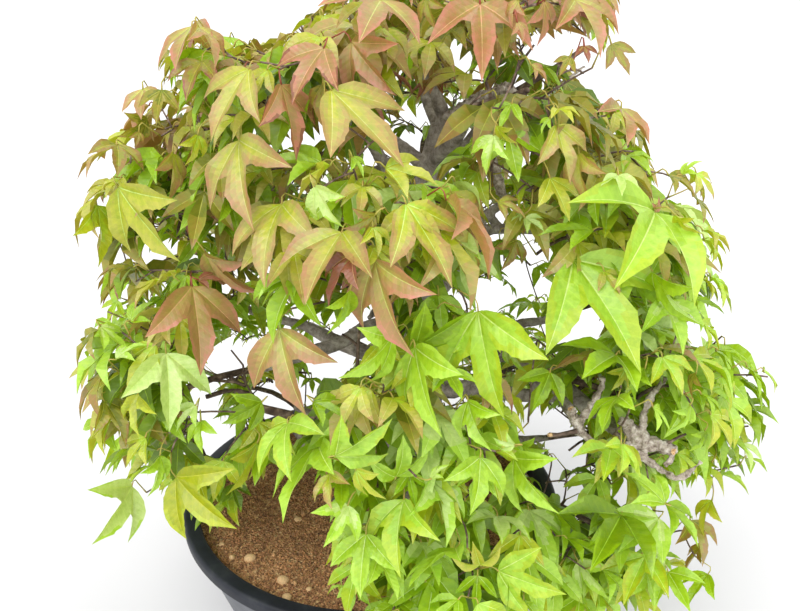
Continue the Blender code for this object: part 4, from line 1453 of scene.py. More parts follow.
# %% Setting the front leaves
DEPTH_TRIES = (0, 1, -1, 2, 3, -2, 4, 5, 6, 7, 8, -3, 9, 10, 11, 12)  # in steps deeper
DEEPER_STEP = 0.005
CROWDED_COST = 5.0  # what a lack of room costs, in steps
HIDDEN_COST = 2.0  # what it costs when a point of this leaf that should show is hidden
HIDING_COST = 6.0  # what it costs to hide such a point of another leaf
MARK_GAP = 0.0015
MARK_SHARES = (0.4, 0.7)
COVERED_POINTS = ((620, 280),)  # noted points that lie under another front leaf
FRONT_BEND = 0.95
FRONT_DROOP = 0.3  # how much of its sag and curl a front leaf keeps
NEAR_FOOT = 0.3  # how far along a leaf the place lies that says which mass it is in
PETIOLE_LENGTHS = (0.010, 0.018)
PETIOLE_MIDDLE = 0.6
# Ways for a stalk to run: back along the leaf, inwards, and up.
PETIOLE_SWEEPS = ((0.5, 0.9, 0.1), (0.3, 1.0, -0.3), (0.0, 1.0, -0.7))
leaves = []
petioles = []
marks = []  # where the points of the front leaves show, and how deep
asked_tips = {mass.name: [] for mass in MASSES}


def petiole_end(foot, along, mass, rng):
    """Where a leaf's stalk meets its shoot, not in the open sky if that can be."""
    inward = (mass.centre - foot).normalized()
    reach = rng.uniform(*PETIOLE_LENGTHS)
    for back, into, up in PETIOLE_SWEEPS:
        sweep = -along * back + inward * into + UP * up
        end = foot + sweep.normalized() * reach
        if not in_opening(np.array([end, foot.lerp(end, PETIOLE_MIDDLE)])):
            break
    return end


def size_in_picture(entry):
    foot, middle = entry[1:3]
    return math.hypot(middle[0] - foot[0], middle[1] - foot[1])


def marks_of(points, foot, lobe_points):
    """A leaf's foot, its noted points and the places between them as they show, and the depth of each."""
    wanted = [foot]
    for place in lobe_points:
        if place is None or place in COVERED_POINTS:
            continue
        for share in (1.0, *MARK_SHARES):
            wanted.append(tuple(start + (end - start) * share for start, end in zip(foot, place)))
    found = []
    across, down, depth = to_picture(points)
    for place in wanted:
        nearest = np.argmin((across - place[0]) ** 2 + (down - place[1]) ** 2)
        found.append((across[nearest], down[nearest], depth[nearest]))
    return found


def hidden_marks(own_marks):
    """How many of the marks lie behind a front leaf that is set already."""
    count = 0
    for across, down, depth in own_marks:
        row, column = int(down / COVER_STEP), int(across / COVER_STEP)
        if 0 <= row < cover.shape[0] and 0 <= column < cover.shape[1]:
            count += cover[row, column] < depth - MARK_GAP
    return count


def doubled_area(corners, place):
    """Twice the area between a place and the side from each triangle's second corner to its third."""
    second, third = corners[:, 1] - place, corners[:, 2] - place
    return second[:, 0] * third[:, 1] - third[:, 0] * second[:, 1]


def marks_behind(points):
    """How many marks of other front leaves this leaf would hide."""
    across, down, depth = to_picture(points)
    corners = np.stack((across, down), axis=1)[FINE.triangles]
    area = doubled_area(corners, corners[:, 0])
    area = np.where(np.abs(area) < LEAST_AREA, LEAST_AREA, area)
    count = 0
    for mark_across, mark_down, mark_depth in marks:
        if mark_depth < depth.min():
            continue
        mark = np.array((mark_across, mark_down))
        u = doubled_area(corners, mark) / area
        v = doubled_area(corners[:, (1, 2, 0)], mark) / area
        over = (u > 0) & (v > 0) & (u + v < 1)
        if over.any() and depth[FINE.triangles[over]].min() < mark_depth - MARK_GAP:
            count += 1
    return count


def set_front_leaf(foot, middle, left, right, rng):
    """The best place for a front leaf: about the crown's face, with room round it and no marks hidden."""
    aim = ((foot[0] + middle[0]) / 2, (foot[1] + middle[1]) / 2)
    start = min(depth_of_crown(*place) for place in (aim, foot, middle))
    bend = random_bend(rng, FRONT_BEND)
    bend = bend._replace(sag=bend.sag * FRONT_DROOP, curl=bend.curl * FRONT_DROOP)
    seed = rng.random()
    best = (math.inf, None)
    for steps in DEPTH_TRIES:
        depth = start + steps * DEEPER_STEP
        axes, length = turn_from_picture(foot, middle, left, right, depth, random.Random(seed))
        if length > LONGEST_FRONT_LEAF:
            depth *= LONGEST_FRONT_LEAF / length
            length = LONGEST_FRONT_LEAF
        place = EYE + sight_line(*foot) * depth
        points = bent_points(FINE, place, axes, length, bend)
        if abs(steps) >= best[0] or not in_box(points) or not clear_of_solids(points):
            continue
        cost = abs(steps) + (0 if has_room(points[FINE_PROBES]) else CROWDED_COST)
        own_marks = marks_of(points, foot, (middle, left, right))
        cost += HIDDEN_COST * hidden_marks(own_marks) + HIDING_COST * marks_behind(points)
        if cost < best[0]:
            best = (cost, (place, axes, length, points, own_marks))
    return best[1]


LEAF_PLACES = 4  # foot, middle, left and right
front_rng = random.Random(11)
for family, *places in sorted(FRONT_LEAVES, key=size_in_picture, reverse=True):
    found = set_front_leaf(*places, *(None,) * (LEAF_PLACES - len(places)), front_rng)
    if found is None:
        print("no place for the front leaf at", places[0])
        continue
    place, axes, length, points, own_marks = found
    near_foot = place + axes.col[1] * length * NEAR_FOOT
    mass = min(MASSES, key=lambda mass: reach_share(near_foot, mass))
    leaves.append(Leaf(FINE, points, band_tints(family, front_rng)))
    take_room(points[FINE_PROBES])
    lay_cover(FINE, points)
    marks += own_marks
    end = petiole_end(place, axes.col[1], mass, front_rng)
    petioles.append((place, axes.col[1].copy(), end, family))
    asked_tips[mass.name].append(end)
for depth, places in (*SEEN_LIMBS, *SEEN_TWIGS):
    lay_limb_cover(depth, places)
print("front leaves set:", len(leaves))

# %% [markdown]
# ## Shoots and the leaves they bear
#
# Inside a mass the bough's end runs on as a stem. From it twigs fork to seeded, evenly spaced tips, and
# each twig leaves the nearest one that is there already. Maple leaves stand in pairs at the joints of a
# shoot, on long reddish stalks, and hang outwards and down. The rule is the one the solids follow, with
# more shoots and true leaves.

# %% Where the shoots end
SHOOTS_PER_MASS = 42
SHOOT_SPACING = 0.0145
SHOOT_REACH = (0.25, 0.88)
TRIES_PER_SHOOT = 60
SHOOT_LIFT = 0.010
CELL_MARGIN = 0.0004


def cell_depth(point, mass):
    """How deep a point lies inside a mass's own cell of the crown."""
    own = (point - mass.centre).length_squared - mass.radius ** 2
    return min(
        ((point - other.centre).length_squared - other.radius ** 2 - own)
        / (2 * (other.centre - mass.centre).length)
        for other in MASSES if other is not mass)


def shoot_tips(mass, rng):
    """The tips that front leaves ask for, then seeded, well-spaced ones in the mass's space."""
    tips = list(asked_tips[mass.name])
    asked = len(tips)
    for _ in range(SHOOTS_PER_MASS * TRIES_PER_SHOOT):
        away = Vector((rng.gauss(0, 1), rng.gauss(0, 1), rng.gauss(0, 1))).normalized()
        away *= mass.radius * rng.uniform(*SHOOT_REACH)
        away.z = away.z * MASS_FLATNESS + SHOOT_LIFT
        tip = mass.centre + away
        spaced = all((tip - other).length > SHOOT_SPACING for other in tips)
        if spaced and cell_depth(tip, mass) > CELL_MARGIN and not in_opening(np.array([tip])):
            tips.append(tip)
        if len(tips) - asked == SHOOTS_PER_MASS:
            break
    return tips, asked


print("shoots asked for by front leaves:", sum(len(tips) for tips in asked_tips.values()))

# %% A leaf's colours by its place in the crown
CROWN_FOOT = 0.10
CROWN_RISE = 0.42
CROWN_HALF_WIDTH = 0.2
LEFT_WARMTH = 0.22
RIGHT_COOLNESS = 0.08
WARMTH_STRAY = 0.14
PAINTED_SHADE_DEPTH = 0.45  # how far inside its mass a leaf is dealt darker tints as painted shade, and how often
PAINTED_SHADE_CHANCE = 0.6
# What leaves may be at each warmth or above it, from the warmest down.
FAMILIES_BY_WARMTH = (
    (0.86, ("bronze", "bronze", "rose", "khaki", "khaki", "olive", "olive", "russet")),
    (0.66, ("khaki", "khaki", "olive", "bronze", "gold", "green_khaki", "lime", "leaf")),
    (0.46, ("khaki", "olive", "lime", "leaf", "green_khaki", "fresh_lime", "leaf", "mint")),
)
COOL_FAMILIES = ("fresh", "leaf", "leaf", "shade", "lime", "lime", "fresh_lime", "fresh_lime")


def family_of(point, mass, rng):
    """A leaf's colours: warm at the top and on the left, fresh green low and on the right, with painted
    sheen on some, and darker deep in its mass as painted shade.
    """
    height = (point.z - CROWN_FOOT) / CROWN_RISE
    left = (CROWN_AXIS.x - point.x) / CROWN_HALF_WIDTH
    inner = 1.0 - min(1.0, reach_share(point, mass))
    lean = LEFT_WARMTH * min(1.0, 2 * max(height, 0.0)) if left > 0 else RIGHT_COOLNESS
    warmth = height + lean * left + rng.uniform(-WARMTH_STRAY, WARMTH_STRAY)
    # Painted shade: deep inside its mass a leaf is often dealt a darker family.
    if inner > PAINTED_SHADE_DEPTH and rng.random() < PAINTED_SHADE_CHANCE:
        least_warmth = FAMILIES_BY_WARMTH[-1][0]
        return rng.choice(("deep", "deep", "olive" if warmth > least_warmth else "shade", "leaf"))
    for least_warmth, families in FAMILIES_BY_WARMTH:
        if warmth > least_warmth:
            return rng.choice(families)
    return rng.choice((*COOL_FAMILIES, *(("leaf", "lime") if left > 0 else ("fresh", "mint"))))


print("steps of warmth:", [least for least, _ in FAMILIES_BY_WARMTH])

# %% Hanging one leaf
LEAF_LENGTHS = (0.026, 0.050)
LEAF_TURN = (0.35, 1.3)
LEAF_DROOP = (0.15, 1.5)
LEAF_FORWARD = 0.6
LEAF_OUTWARD = 0.55
LEAF_FACE_UP = 0.8
LEAF_ROLL = 0.5
STEEP_RUN = 0.05  # under this, a shoot is so near upright that its side is any side
STALK_RISE = (0.0, 0.5)
LEAF_TRIES = 10
LEAF_SHRINK = 0.05  # how much shorter a leaf is at each further try
FILL_PETIOLES = (0.006, 0.014)
LEAF_REACH = 1.03
REACH_PROBES = 6


def frame_along(direction, up):
    """A rotation whose Y runs along the direction, with Z as near to up as it can be."""
    along = direction.normalized()
    across = along.cross(up).normalized()
    return Matrix((across, along, across.cross(along))).transposed()


def set_leaf(joint, run, side, mass, family, rng):
    """Try to hang one leaf from a joint of a shoot, and say whether it found room."""
    along = run.normalized()
    across = along.cross(UP)
    across = across.normalized() if across.length > STEEP_RUN else Vector((1, 0, 0))
    outward = joint - CROWN_AXIS
    outward.z = 0.0
    outward.normalize()
    for attempt in range(LEAF_TRIES):
        spread = side * rng.uniform(*LEAF_TURN)
        flat = along * LEAF_FORWARD + across * spread + outward * LEAF_OUTWARD
        flat.z = 0.0
        flat.normalize()
        direction = (flat - UP * rng.uniform(*LEAF_DROOP)).normalized()
        up = UP * LEAF_FACE_UP + flat + across * rng.uniform(-LEAF_ROLL, LEAF_ROLL)
        length = rng.uniform(*LEAF_LENGTHS) * (1 - LEAF_SHRINK * attempt)
        stalk = (flat + UP * rng.uniform(*STALK_RISE)).normalized() * rng.uniform(*FILL_PETIOLES)
        foot = joint + stalk
        points = bent_points(PLAIN, foot, frame_along(direction, up), length, random_bend(rng))
        key = points[PLAIN_PROBES]
        if max(reach_share(Vector(point), mass) for point in key[:REACH_PROBES]) > LEAF_REACH:
            continue
        if not in_box(points) or not has_room(key) or not clear_of_solids(key):
            continue
        if in_opening(points[::3]) or hides_front(key):
            continue
        leaves.append(Leaf(PLAIN, points, band_tints(family, rng)))
        take_room(key)
        petioles.append((foot, direction, joint, family))
        return True
    return False


print("a leaf is tried up to", LEAF_TRIES, "times")

# %% Twigs that fork
CARRIER_TRIES = 5  # forks tried for a twig that would cross an opening
CROSSING_SHARES = (0.2, 0.4, 0.6, 0.8)  # where along a twig this is looked for
LONGEST_BARE_TWIG = 0.020
TWIG_SAG = 0.08
TWIG_LIFT = (0.2, 1.2)
TWIG_SHARES = (0.0, 0.22, 0.5, 0.78, 1.0)
PAIR_PLACE = 0.55  # of the pair of leaves that a long twig bears on its way
SAME_FAMILY = 0.7


def twig_line(start, end, start_radius, end_radius, rng):
    """A twig that leaves a little steeply and bends over, as points and radii."""
    run = end - start
    bow = Vector((rng.uniform(-1, 1), rng.uniform(-1, 1), rng.uniform(*TWIG_LIFT)))
    bow *= run.length * TWIG_SAG
    points = [start + run * share + bow * (4 * share * (1 - share)) for share in TWIG_SHARES]
    radii = [start_radius + (end_radius - start_radius) * share for share in TWIG_SHARES]
    return points, radii


def choose_fork(tip, nodes):
    """The nearest fork from which a twig reaches the tip without crossing an opening."""
    near = heapq.nsmallest(CARRIER_TRIES, nodes, key=lambda candidate: (candidate[0] - tip).length)
    for fork, carrier in near:
        run = tip - fork
        if not in_opening(np.array([fork + run * share for share in CROSSING_SHARES])):
            return fork, carrier, True
    return fork, carrier, False


def hang_leaves(fork, tip, mass, rng):
    """Hang up to five leaves on a twig, and count those that found room."""
    run = tip - fork
    family = family_of(tip, mass, rng)
    count = 0
    for side in (-1, 1, 0):
        own_family = family if rng.random() < SAME_FAMILY else family_of(tip, mass, rng)
        count += set_leaf(tip, run, side, mass, own_family, rng)
    if run.length > LONGEST_BARE_TWIG:
        middle = fork.lerp(tip, PAIR_PLACE)
        count += sum(set_leaf(middle, run, side, mass, family, rng) for side in (-1, 1))
    return count


print("knots of a twig:", len(TWIG_SHARES))

# %% Growing every mass
STEM_RADIUS = 0.0021
STEM_TAPER = (1.1, 0.8)
STEM_OVERLAP = 0.004
STEM_PAST_MIDDLE = 0.012
STEM_NODES = (0.4, 0.7, 0.97)
NODE_THINNING = 0.9
TWIG_TAPER = 0.7
FORK_THINNING = 0.66
THINNEST_TWIG = 0.00055
SHORTEST_TWIG = 0.006
NODE_SETBACK = 0.005
SIDE_TWIG_ALONG = 0.4
FIRST_GROWTH_SEED = 1000

twig_lines = [seen_line(depth, places) for depth, places in SEEN_TWIGS]
masses_with_leaves = {}
for mass in MASSES:
    rng = random.Random(FIRST_GROWTH_SEED + mass.seed)
    limb = BOUGHS[mass.name]
    entry = (limb.points[-1] - limb.points[-2]).normalized()
    start = limb.points[-1] - entry * STEM_OVERLAP
    stem_run = mass.centre + entry * STEM_PAST_MIDDLE - start
    stem_radii = [STEM_RADIUS * share for share in STEM_TAPER]
    twig_lines.append(twig_line(start, start + stem_run, *stem_radii, rng))
    nodes = [(start + stem_run * share, STEM_RADIUS * NODE_THINNING) for share in STEM_NODES]
    tips, asked = shoot_tips(mass, rng)
    before = len(leaves)
    for index in sorted(range(len(tips)), key=lambda index: (tips[index] - start).length):
        tip = tips[index]
        is_asked = index < asked
        fork, carrier, is_clear = choose_fork(tip, nodes)
        run = tip - fork
        if not is_asked and (not is_clear or run.length < SHORTEST_TWIG):
            continue
        if not hang_leaves(fork, tip, mass, rng) and not is_asked:
            continue
        radius = max(carrier * FORK_THINNING, THINNEST_TWIG)
        end_radius = max(radius * TWIG_TAPER, THINNEST_TWIG)
        twig_lines.append(twig_line(fork, tip, radius, end_radius, rng))
        if run.length > SHORTEST_TWIG:
            nodes.append((fork.lerp(tip, SIDE_TWIG_ALONG), radius))
        nodes.append((tip - run.normalized() * min(NODE_SETBACK, run.length / 2), end_radius))
    masses_with_leaves[mass.name] = len(leaves) - before
print("leaves in all:", len(leaves), "twigs:", len(twig_lines))
print("fewest leaves in a mass:", min(masses_with_leaves.values()))

# %% Joining the leaves by tint


def tint_mesh(name, blocks):
    """One mesh of many blocks: their points, their triangles and, if given, their places on the leaf."""
    starts = np.cumsum([0] + [len(block[0]) for block in blocks[:-1]])
    points = np.vstack([block[0] for block in blocks])
    triangles = np.vstack([block[1] + start for block, start in zip(blocks, starts)])
    mesh = bpy.data.meshes.new(name)
    mesh.vertices.add(len(points))
    mesh.vertices.foreach_set("co", points.astype(np.float32).ravel())
    mesh.loops.add(triangles.size)
    mesh.loops.foreach_set("vertex_index", triangles.astype(np.int32).ravel())
    mesh.polygons.add(len(triangles))
    mesh.polygons.foreach_set("loop_start", np.arange(0, triangles.size, 3, dtype=np.int32))
    mesh.update(calc_edges=True)
    if len(blocks[0]) == 3:
        places = np.vstack([block[2].reshape(-1, 2) for block in blocks])
        mesh.uv_layers.new(name="leaf_places").uv.foreach_set("vector", places.astype(np.float32).ravel())
    mesh.validate()
    return mesh


blocks = {tint: [] for tint in TINTS}
for leaf in leaves:
    for zone, tint in enumerate(leaf.tints):
        wanted = leaf.blade.zones == zone
        faces = leaf.blade.triangles[wanted]
        if len(faces) == 0:
            continue
        used, renumbered = np.unique(faces, return_inverse=True)
        blocks[tint].append((leaf.points[used], renumbered.reshape(faces.shape), leaf.blade.places[wanted]))
leaf_pieces = {}
for tint, parts in blocks.items():
    if not parts:
        continue
    name = f"leaves_{tint}" if not tint.endswith("rib") else f"leaf_{tint}s"
    leaf_pieces[tint] = add_to_scene(name, tint_mesh(name, parts))
    bpy.ops.object.shade_smooth()
print("pieces of leaves:", {tint: triangles_of(piece) for tint, piece in leaf_pieces.items()})

# %% Twigs and stalks
PETIOLE_RADII = (0.00055, 0.0004)  # at its ends, and between them
PETIOLE_KNOTS = 6
PETIOLE_BACK = 0.25
PETIOLE_BOW = 0.12
PETIOLE_BEND = 0.55
PETIOLE_UNDER_LEAF = 0.0004
LINE_MARGIN = 0.0016


def petiole_line(foot, direction, joint):
    """A stalk that leaves the shoot and bends into the leaf's rib."""
    reach = (foot - joint).length
    bend = foot - direction * reach * PETIOLE_BACK + UP * reach * PETIOLE_BOW
    end = foot + direction * PETIOLE_UNDER_LEAF
    points = through([joint.copy(), joint.lerp(bend, PETIOLE_BEND), bend, end], PETIOLE_KNOTS)
    radii = [PETIOLE_RADII[1]] * PETIOLE_KNOTS
    radii[0] = radii[-1] = PETIOLE_RADII[0]
    return points, radii


def thin_piece(name, lines, resolution):
    """Thin tubes as one piece that stays in the box of the solids, at its sharp bends too."""
    low, high = (Vector(corner) for corner in CAD_BOX)
    for points, _ in lines:
        for point in points:
            for axis in range(3):
                point[axis] = min(max(point[axis], low[axis] + LINE_MARGIN), high[axis] - LINE_MARGIN)
    piece = settle(tubes(name, lines, resolution), name)
    corners = np.empty(len(piece.data.vertices) * 3, dtype=np.float32)
    piece.data.vertices.foreach_get("co", corners)
    corners = np.clip(corners.reshape(-1, 3), LOW_CORNER + BOX_MARGIN, HIGH_CORNER - BOX_MARGIN)
    piece.data.vertices.foreach_set("co", corners.astype(np.float32).ravel())
    piece.data.update()
    bpy.ops.object.shade_smooth()
    return piece


green_lines = []
rose_lines = []
for foot, direction, joint, family in petioles:
    lines = rose_lines if FAMILIES[family].rib == "rose_rib" else green_lines
    lines.append(petiole_line(foot, direction, joint))
twigs = thin_piece("twigs", twig_lines, 1)
stalks = thin_piece("leaf_stalks", green_lines, 0)
red_stalks = thin_piece("rose_leaf_stalks", rose_lines, 0)
print("triangles of twigs and stalks:", [triangles_of(piece) for piece in (twigs, stalks, red_stalks)])

# %% Leaf finishes and what the leaves stand for
GLOW_SHARE = 0.26  # how much of the light on a leaf's other side comes through it
VEINS = 9.0  # side veins on each side of a rib
VEIN_SLANT = 0.95
VEIN_WIDTH = 0.12
VEIN_SHOW = 0.27
VEIN_BRIGHTER = 1.13
VEIN_PALER = 8
GLOW_TINT = (1.10, 1.04, 0.65)
WARM_RATIO = 1.02  # a leaf is warm when its red is above its green by this
STALK_ROUGHNESS = 0.5
# What faint patches do to red, green and blue: darker ones, and lighter ones.
GREEN_MOTTLE = ((0.88, 0.93, 0.80), (1.08, 1.04, 1.18))
WARM_MOTTLE = ((0.91, 1.02, 0.84), (1.08, 0.95, 1.08))


def tinted(look, shares):
    """A look with its red, green and blue each made more or less, as a colour."""
    return colour(*(min(BRIGHTEST, value * share) for value, share in zip(look, shares)))


def calculated(finish, source, output, operation, number):
    """A Math node that works on the source's number and a fixed one."""
    made = node(finish, "ShaderNodeMath", operation=operation)
    made.inputs[1].default_value = number
    wire(finish, source, output, made, 0)
    return made


def veins(finish):
    """How near a point is to a side vein: 0 on the vein, 0.5 between two. Veins slant out from the rib."""
    leaf_place = node(finish, "ShaderNodeUVMap", uv_map="leaf_places")
    split = node(finish, "ShaderNodeSeparateXYZ")
    wire(finish, leaf_place, "UV", split, "Vector")
    slant = calculated(finish, split, "X", "MULTIPLY", -VEIN_SLANT)
    along = node(finish, "ShaderNodeMath", operation="ADD")
    wire(finish, split, "Y", along, 0)
    wire(finish, slant, "Value", along, 1)
    counted = calculated(finish, along, "Value", "MULTIPLY", VEINS)
    return calculated(finish, counted, "Value", "PINGPONG", 0.5)


def leaf_finish(name, look, roughness=0.36, veined=True):
    """A mottled leaf colour with side veins, and a skin that is finely pitted and unevenly glossy."""
    finish = new_finish(name, colour(*look), roughness)
    shader = shader_of(finish)
    shader.inputs["Specular IOR Level"].default_value = 0.70
    mottle = object_pattern(finish, Scale=260.0, Detail=6.0, Roughness=0.7)
    low, high = WARM_MOTTLE if look[0] > look[1] * WARM_RATIO else GREEN_MOTTLE
    shades = ramp(finish, mottle, "Fac", (
        (0.34, tinted(look, low)), (0.50, colour(*look)), (0.66, tinted(look, high))))
    glow = node(finish, "ShaderNodeBsdfTranslucent", Color=tinted(look, GLOW_TINT))
    blend = node(finish, "ShaderNodeMixShader", Fac=GLOW_SHARE)
    wire(finish, shader, "BSDF", blend, 1)
    wire(finish, glow, "BSDF", blend, 2)
    wire(finish, blend, "Shader", finish.node_tree.nodes["Material Output"], "Surface")
    skin = object_pattern(finish, Scale=700.0, Detail=3.0)
    gloss = rescaled(finish, skin, "Fac", 0.3, 0.7, roughness - 0.08, roughness + 0.12)
    wire(finish, gloss, "Result", shader, "Roughness")
    pitted = bump(finish, skin, "Fac", 0.3, 0.0005)
    if not veined:
        wire(finish, shades, "Color", shader, "Base Color")
        return finish
    vein = veins(finish)
    line = rescaled(finish, vein, "Value", 0.0, VEIN_WIDTH, VEIN_SHOW, 0.0)
    drawn = mixed(finish, shades)
    vein_look = (min(BRIGHTEST, value * VEIN_BRIGHTER + VEIN_PALER) for value in look)
    drawn.inputs[MIX_SECOND].default_value = colour(*vein_look)
    wire(finish, line, "Result", drawn, "Factor")
    bump(finish, vein, "Value", 0.17, 0.0012, pitted)
    return finish


mass_names = [mass.name for mass in MASSES]
for tint, piece in leaf_pieces.items():
    piece.data.materials.append(leaf_finish(f"leaf_{tint}", TINTS[tint].look))
    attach(piece, "root")
    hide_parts(*mass_names)
green_stalk = leaf_finish("green_stalk", (185, 175, 80), STALK_ROUGHNESS, veined=False)
rose_stalk = leaf_finish("rose_stalk", (165, 85, 60), STALK_ROUGHNESS, veined=False)
for piece, finish, slot_name in (
        (twigs, twig_bark, "bark"),
        (stalks, green_stalk, GREEN),
        (red_stalks, rose_stalk, BRONZE)):
    coat(piece, finish)
    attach(piece, "root")
    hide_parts(*mass_names)
print("masses replaced:", len(mass_names))

# %% [markdown]
# ## The pot
#
# A round plastic pot is turned about its middle, so its outline is drawn once as a line and a Screw
# modifier spins it. The corners of the outline are rounded with short arcs. Moulded plastic is smooth but
# not a mirror: a faint noise breaks its gloss, and thin scratches run round the rim.

# %% Turning a line about the upright axis
TURN_STEPS = 160
BED_TURN_STEPS = 120
ARC_STEPS = 5
TURN_NEARNESS = 0.00001
CREASE_ANGLE = math.radians(35)


def rounded(corners):
    """The outline with an arc in place of each corner that has a radius."""
    line = []
    for index, (radius_out, height, round_by) in enumerate(corners):
        corner = Vector((radius_out, height))
        if round_by == 0:
            line.append(corner)
            continue
        before = (Vector(corners[index - 1][:2]) - corner).normalized()
        after = (Vector(corners[index + 1][:2]) - corner).normalized()
        turn = math.acos(max(-1.0, min(1.0, before.dot(after))))
        off = round_by / math.tan(turn / 2)
        start = corner + before * off
        end = corner + after * off
        for step in range(ARC_STEPS + 1):
            t = step / ARC_STEPS
            line.append(start * (1 - t) ** 2 + corner * 2 * t * (1 - t) + end * t ** 2)
    return line


def turned_piece(name, corners, steps):
    """A closed round piece, from its outline as radius, height and rounding of each corner."""
    points = [(place.x, 0.0, place.y) for place in rounded(corners)]
    add_to_scene(name, curve_of(name, [(points, [1.0] * len(points))]))
    bpy.ops.object.convert(target="MESH")
    piece = bpy.context.object
    screw = piece.modifiers.new("turn", "SCREW")
    screw.steps = steps
    screw.render_steps = steps
    screw.use_merge_vertices = True
    screw.merge_threshold = TURN_NEARNESS
    apply_all_modifiers(piece)
    merge_doubles(TURN_NEARNESS, face_out=True)
    bpy.ops.object.shade_smooth_by_angle(angle=CREASE_ANGLE)
    return settle(piece, name)


BAND_BOTTOM = POT_HEIGHT - RIM_HEIGHT
WALL_TOP_RADIUS = POT_RADIUS - RIM_STEP
MOUTH_RADIUS = POT_RADIUS - RIM_WALL


def inner_wall_radius(height):
    share = min(height / BAND_BOTTOM, 1.0)
    return POT_FOOT_RADIUS + (WALL_TOP_RADIUS - POT_FOOT_RADIUS) * share - POT_WALL


pot_outline = (
    (0.0, POT_FLOOR, 0),
    (inner_wall_radius(POT_FLOOR), POT_FLOOR, 0.004),
    (inner_wall_radius(BAND_BOTTOM), BAND_BOTTOM, 0.002),
    (MOUTH_RADIUS, POT_HEIGHT, 0.0035),
    (POT_RADIUS, POT_HEIGHT, 0.0035),
    (POT_RADIUS - 0.0006, BAND_BOTTOM, 0.0022),
    (WALL_TOP_RADIUS, BAND_BOTTOM, 0.0012),
    (POT_FOOT_RADIUS, 0.0, 0.004),
    (0.0, 0.0, 0),
)
pot = turned_piece("round_pot", pot_outline, TURN_STEPS)
print("triangles of the pot:", triangles_of(pot))

# %% The pot's plastic
pot_plastic = new_finish("pot_plastic", colour(48, 53, 58), 0.42)
shader_of(pot_plastic).inputs["Specular IOR Level"].default_value = 0.28
dust = object_pattern(pot_plastic, Scale=60.0, Detail=6.0, Roughness=0.6)
dust_colour = ramp(pot_plastic, dust, "Fac", (
    (0.35, colour(26, 28, 34)),
    (0.55, colour(35, 38, 45)),
    (0.75, colour(52, 54, 58)),
))
pot_place = node(pot_plastic, "ShaderNodeTexCoord")
pot_height = node(pot_plastic, "ShaderNodeSeparateXYZ")
wire(pot_plastic, pot_place, "Object", pot_height, "Vector")
# Below the rim band the wall is a lighter grey: painted reflection of the pale floor, together with dust.
under_rim = rescaled(pot_plastic, pot_height, "Z", BAND_BOTTOM + 0.0005, BAND_BOTTOM - 0.0015)
wall_dust_and_reflection = ramp(pot_plastic, dust, "Fac", ((0.3, colour(84, 86, 91)), (0.7, colour(108, 110, 115))))
pot_colour = mixed(pot_plastic, dust_colour)
wire(pot_plastic, under_rim, "Result", pot_colour, "Factor")
wire(pot_plastic, wall_dust_and_reflection, "Color", pot_colour, MIX_SECOND)
scratches = object_pattern(pot_plastic, stretch=(0.3, 0.3, 9.0), Scale=150.0, Detail=4.0)
gloss_range = rescaled(pot_plastic, scratches, "Fac", 0.0, 1.0, 0.36, 0.64)
wire(pot_plastic, gloss_range, "Result", shader_of(pot_plastic), "Roughness")
bump(pot_plastic, scratches, "Fac", 0.12, 0.0004)
coat(pot, pot_plastic)
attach(pot, "root")
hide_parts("pot")
print("nodes of the pot's plastic:", len(pot_plastic.node_tree.nodes))

# %% [markdown]
# ## The soil
#
# Bonsai soil is a loose mix of baked clay, pumice and bark in grains of two to five millimetres. A bed
# with a gently uneven top fills the pot, and several thousand small stones lie on it. One stone is an
# icosphere primitive of twenty faces. It is copied as arrays, each copy squeezed and turned in its own
# way, and the copies are joined by colour.

# %% The bed of soil
BED_RINGS = 26
BED_DEPTH = 0.0016  # the bed lies this much lower, to leave room for its grains
BED_RISE = 0.0022
BED_EDGE = 0.002  # a rim this wide stays level
BED_GAP = 0.0006
bed_top = SOIL_TOP - BED_DEPTH
bed_corners = [(SOIL_RADIUS * ring / BED_RINGS, bed_top, 0) for ring in range(BED_RINGS + 1)]
bed_corners += [
    (inner_wall_radius(BAND_BOTTOM) - BED_GAP, BAND_BOTTOM, 0),
    (inner_wall_radius(POT_FLOOR) - BED_GAP, POT_FLOOR + CLEARANCE, 0),
    (0.0, POT_FLOOR + CLEARANCE, 0)]
bed = turned_piece("soil_bed", bed_corners, BED_TURN_STEPS)
uneven = [
    vertex.index for vertex in bed.data.vertices
    if vertex.co.z > bed_top - BED_DEPTH and vertex.co.xy.length < SOIL_RADIUS - BED_EDGE]
bed.vertex_groups.new(name="top").add(uneven, 1.0, "REPLACE")
add_relief(bed, "bed", "CLOUDS", 0.016, BED_RISE, group="top")
apply_all_modifiers(bed)
soil_mix = new_finish("soil_mix", colour(150, 106, 70), 0.95)
soil_grain = object_pattern(soil_mix, "ShaderNodeTexVoronoi", Scale=620.0)
soil_colours = ramp(soil_mix, soil_grain, "Color", (
    (0.20, colour(120, 86, 60)),
    (0.45, colour(172, 126, 84)),
    (0.70, colour(200, 152, 104)),
    (0.90, colour(222, 186, 138)),
))
wire(soil_mix, soil_colours, "Color", shader_of(soil_mix), "Base Color")
bump(soil_mix, soil_grain, "Distance", 0.9, 0.0015)
coat(bed, soil_mix)
print("triangles of the bed:", triangles_of(bed))

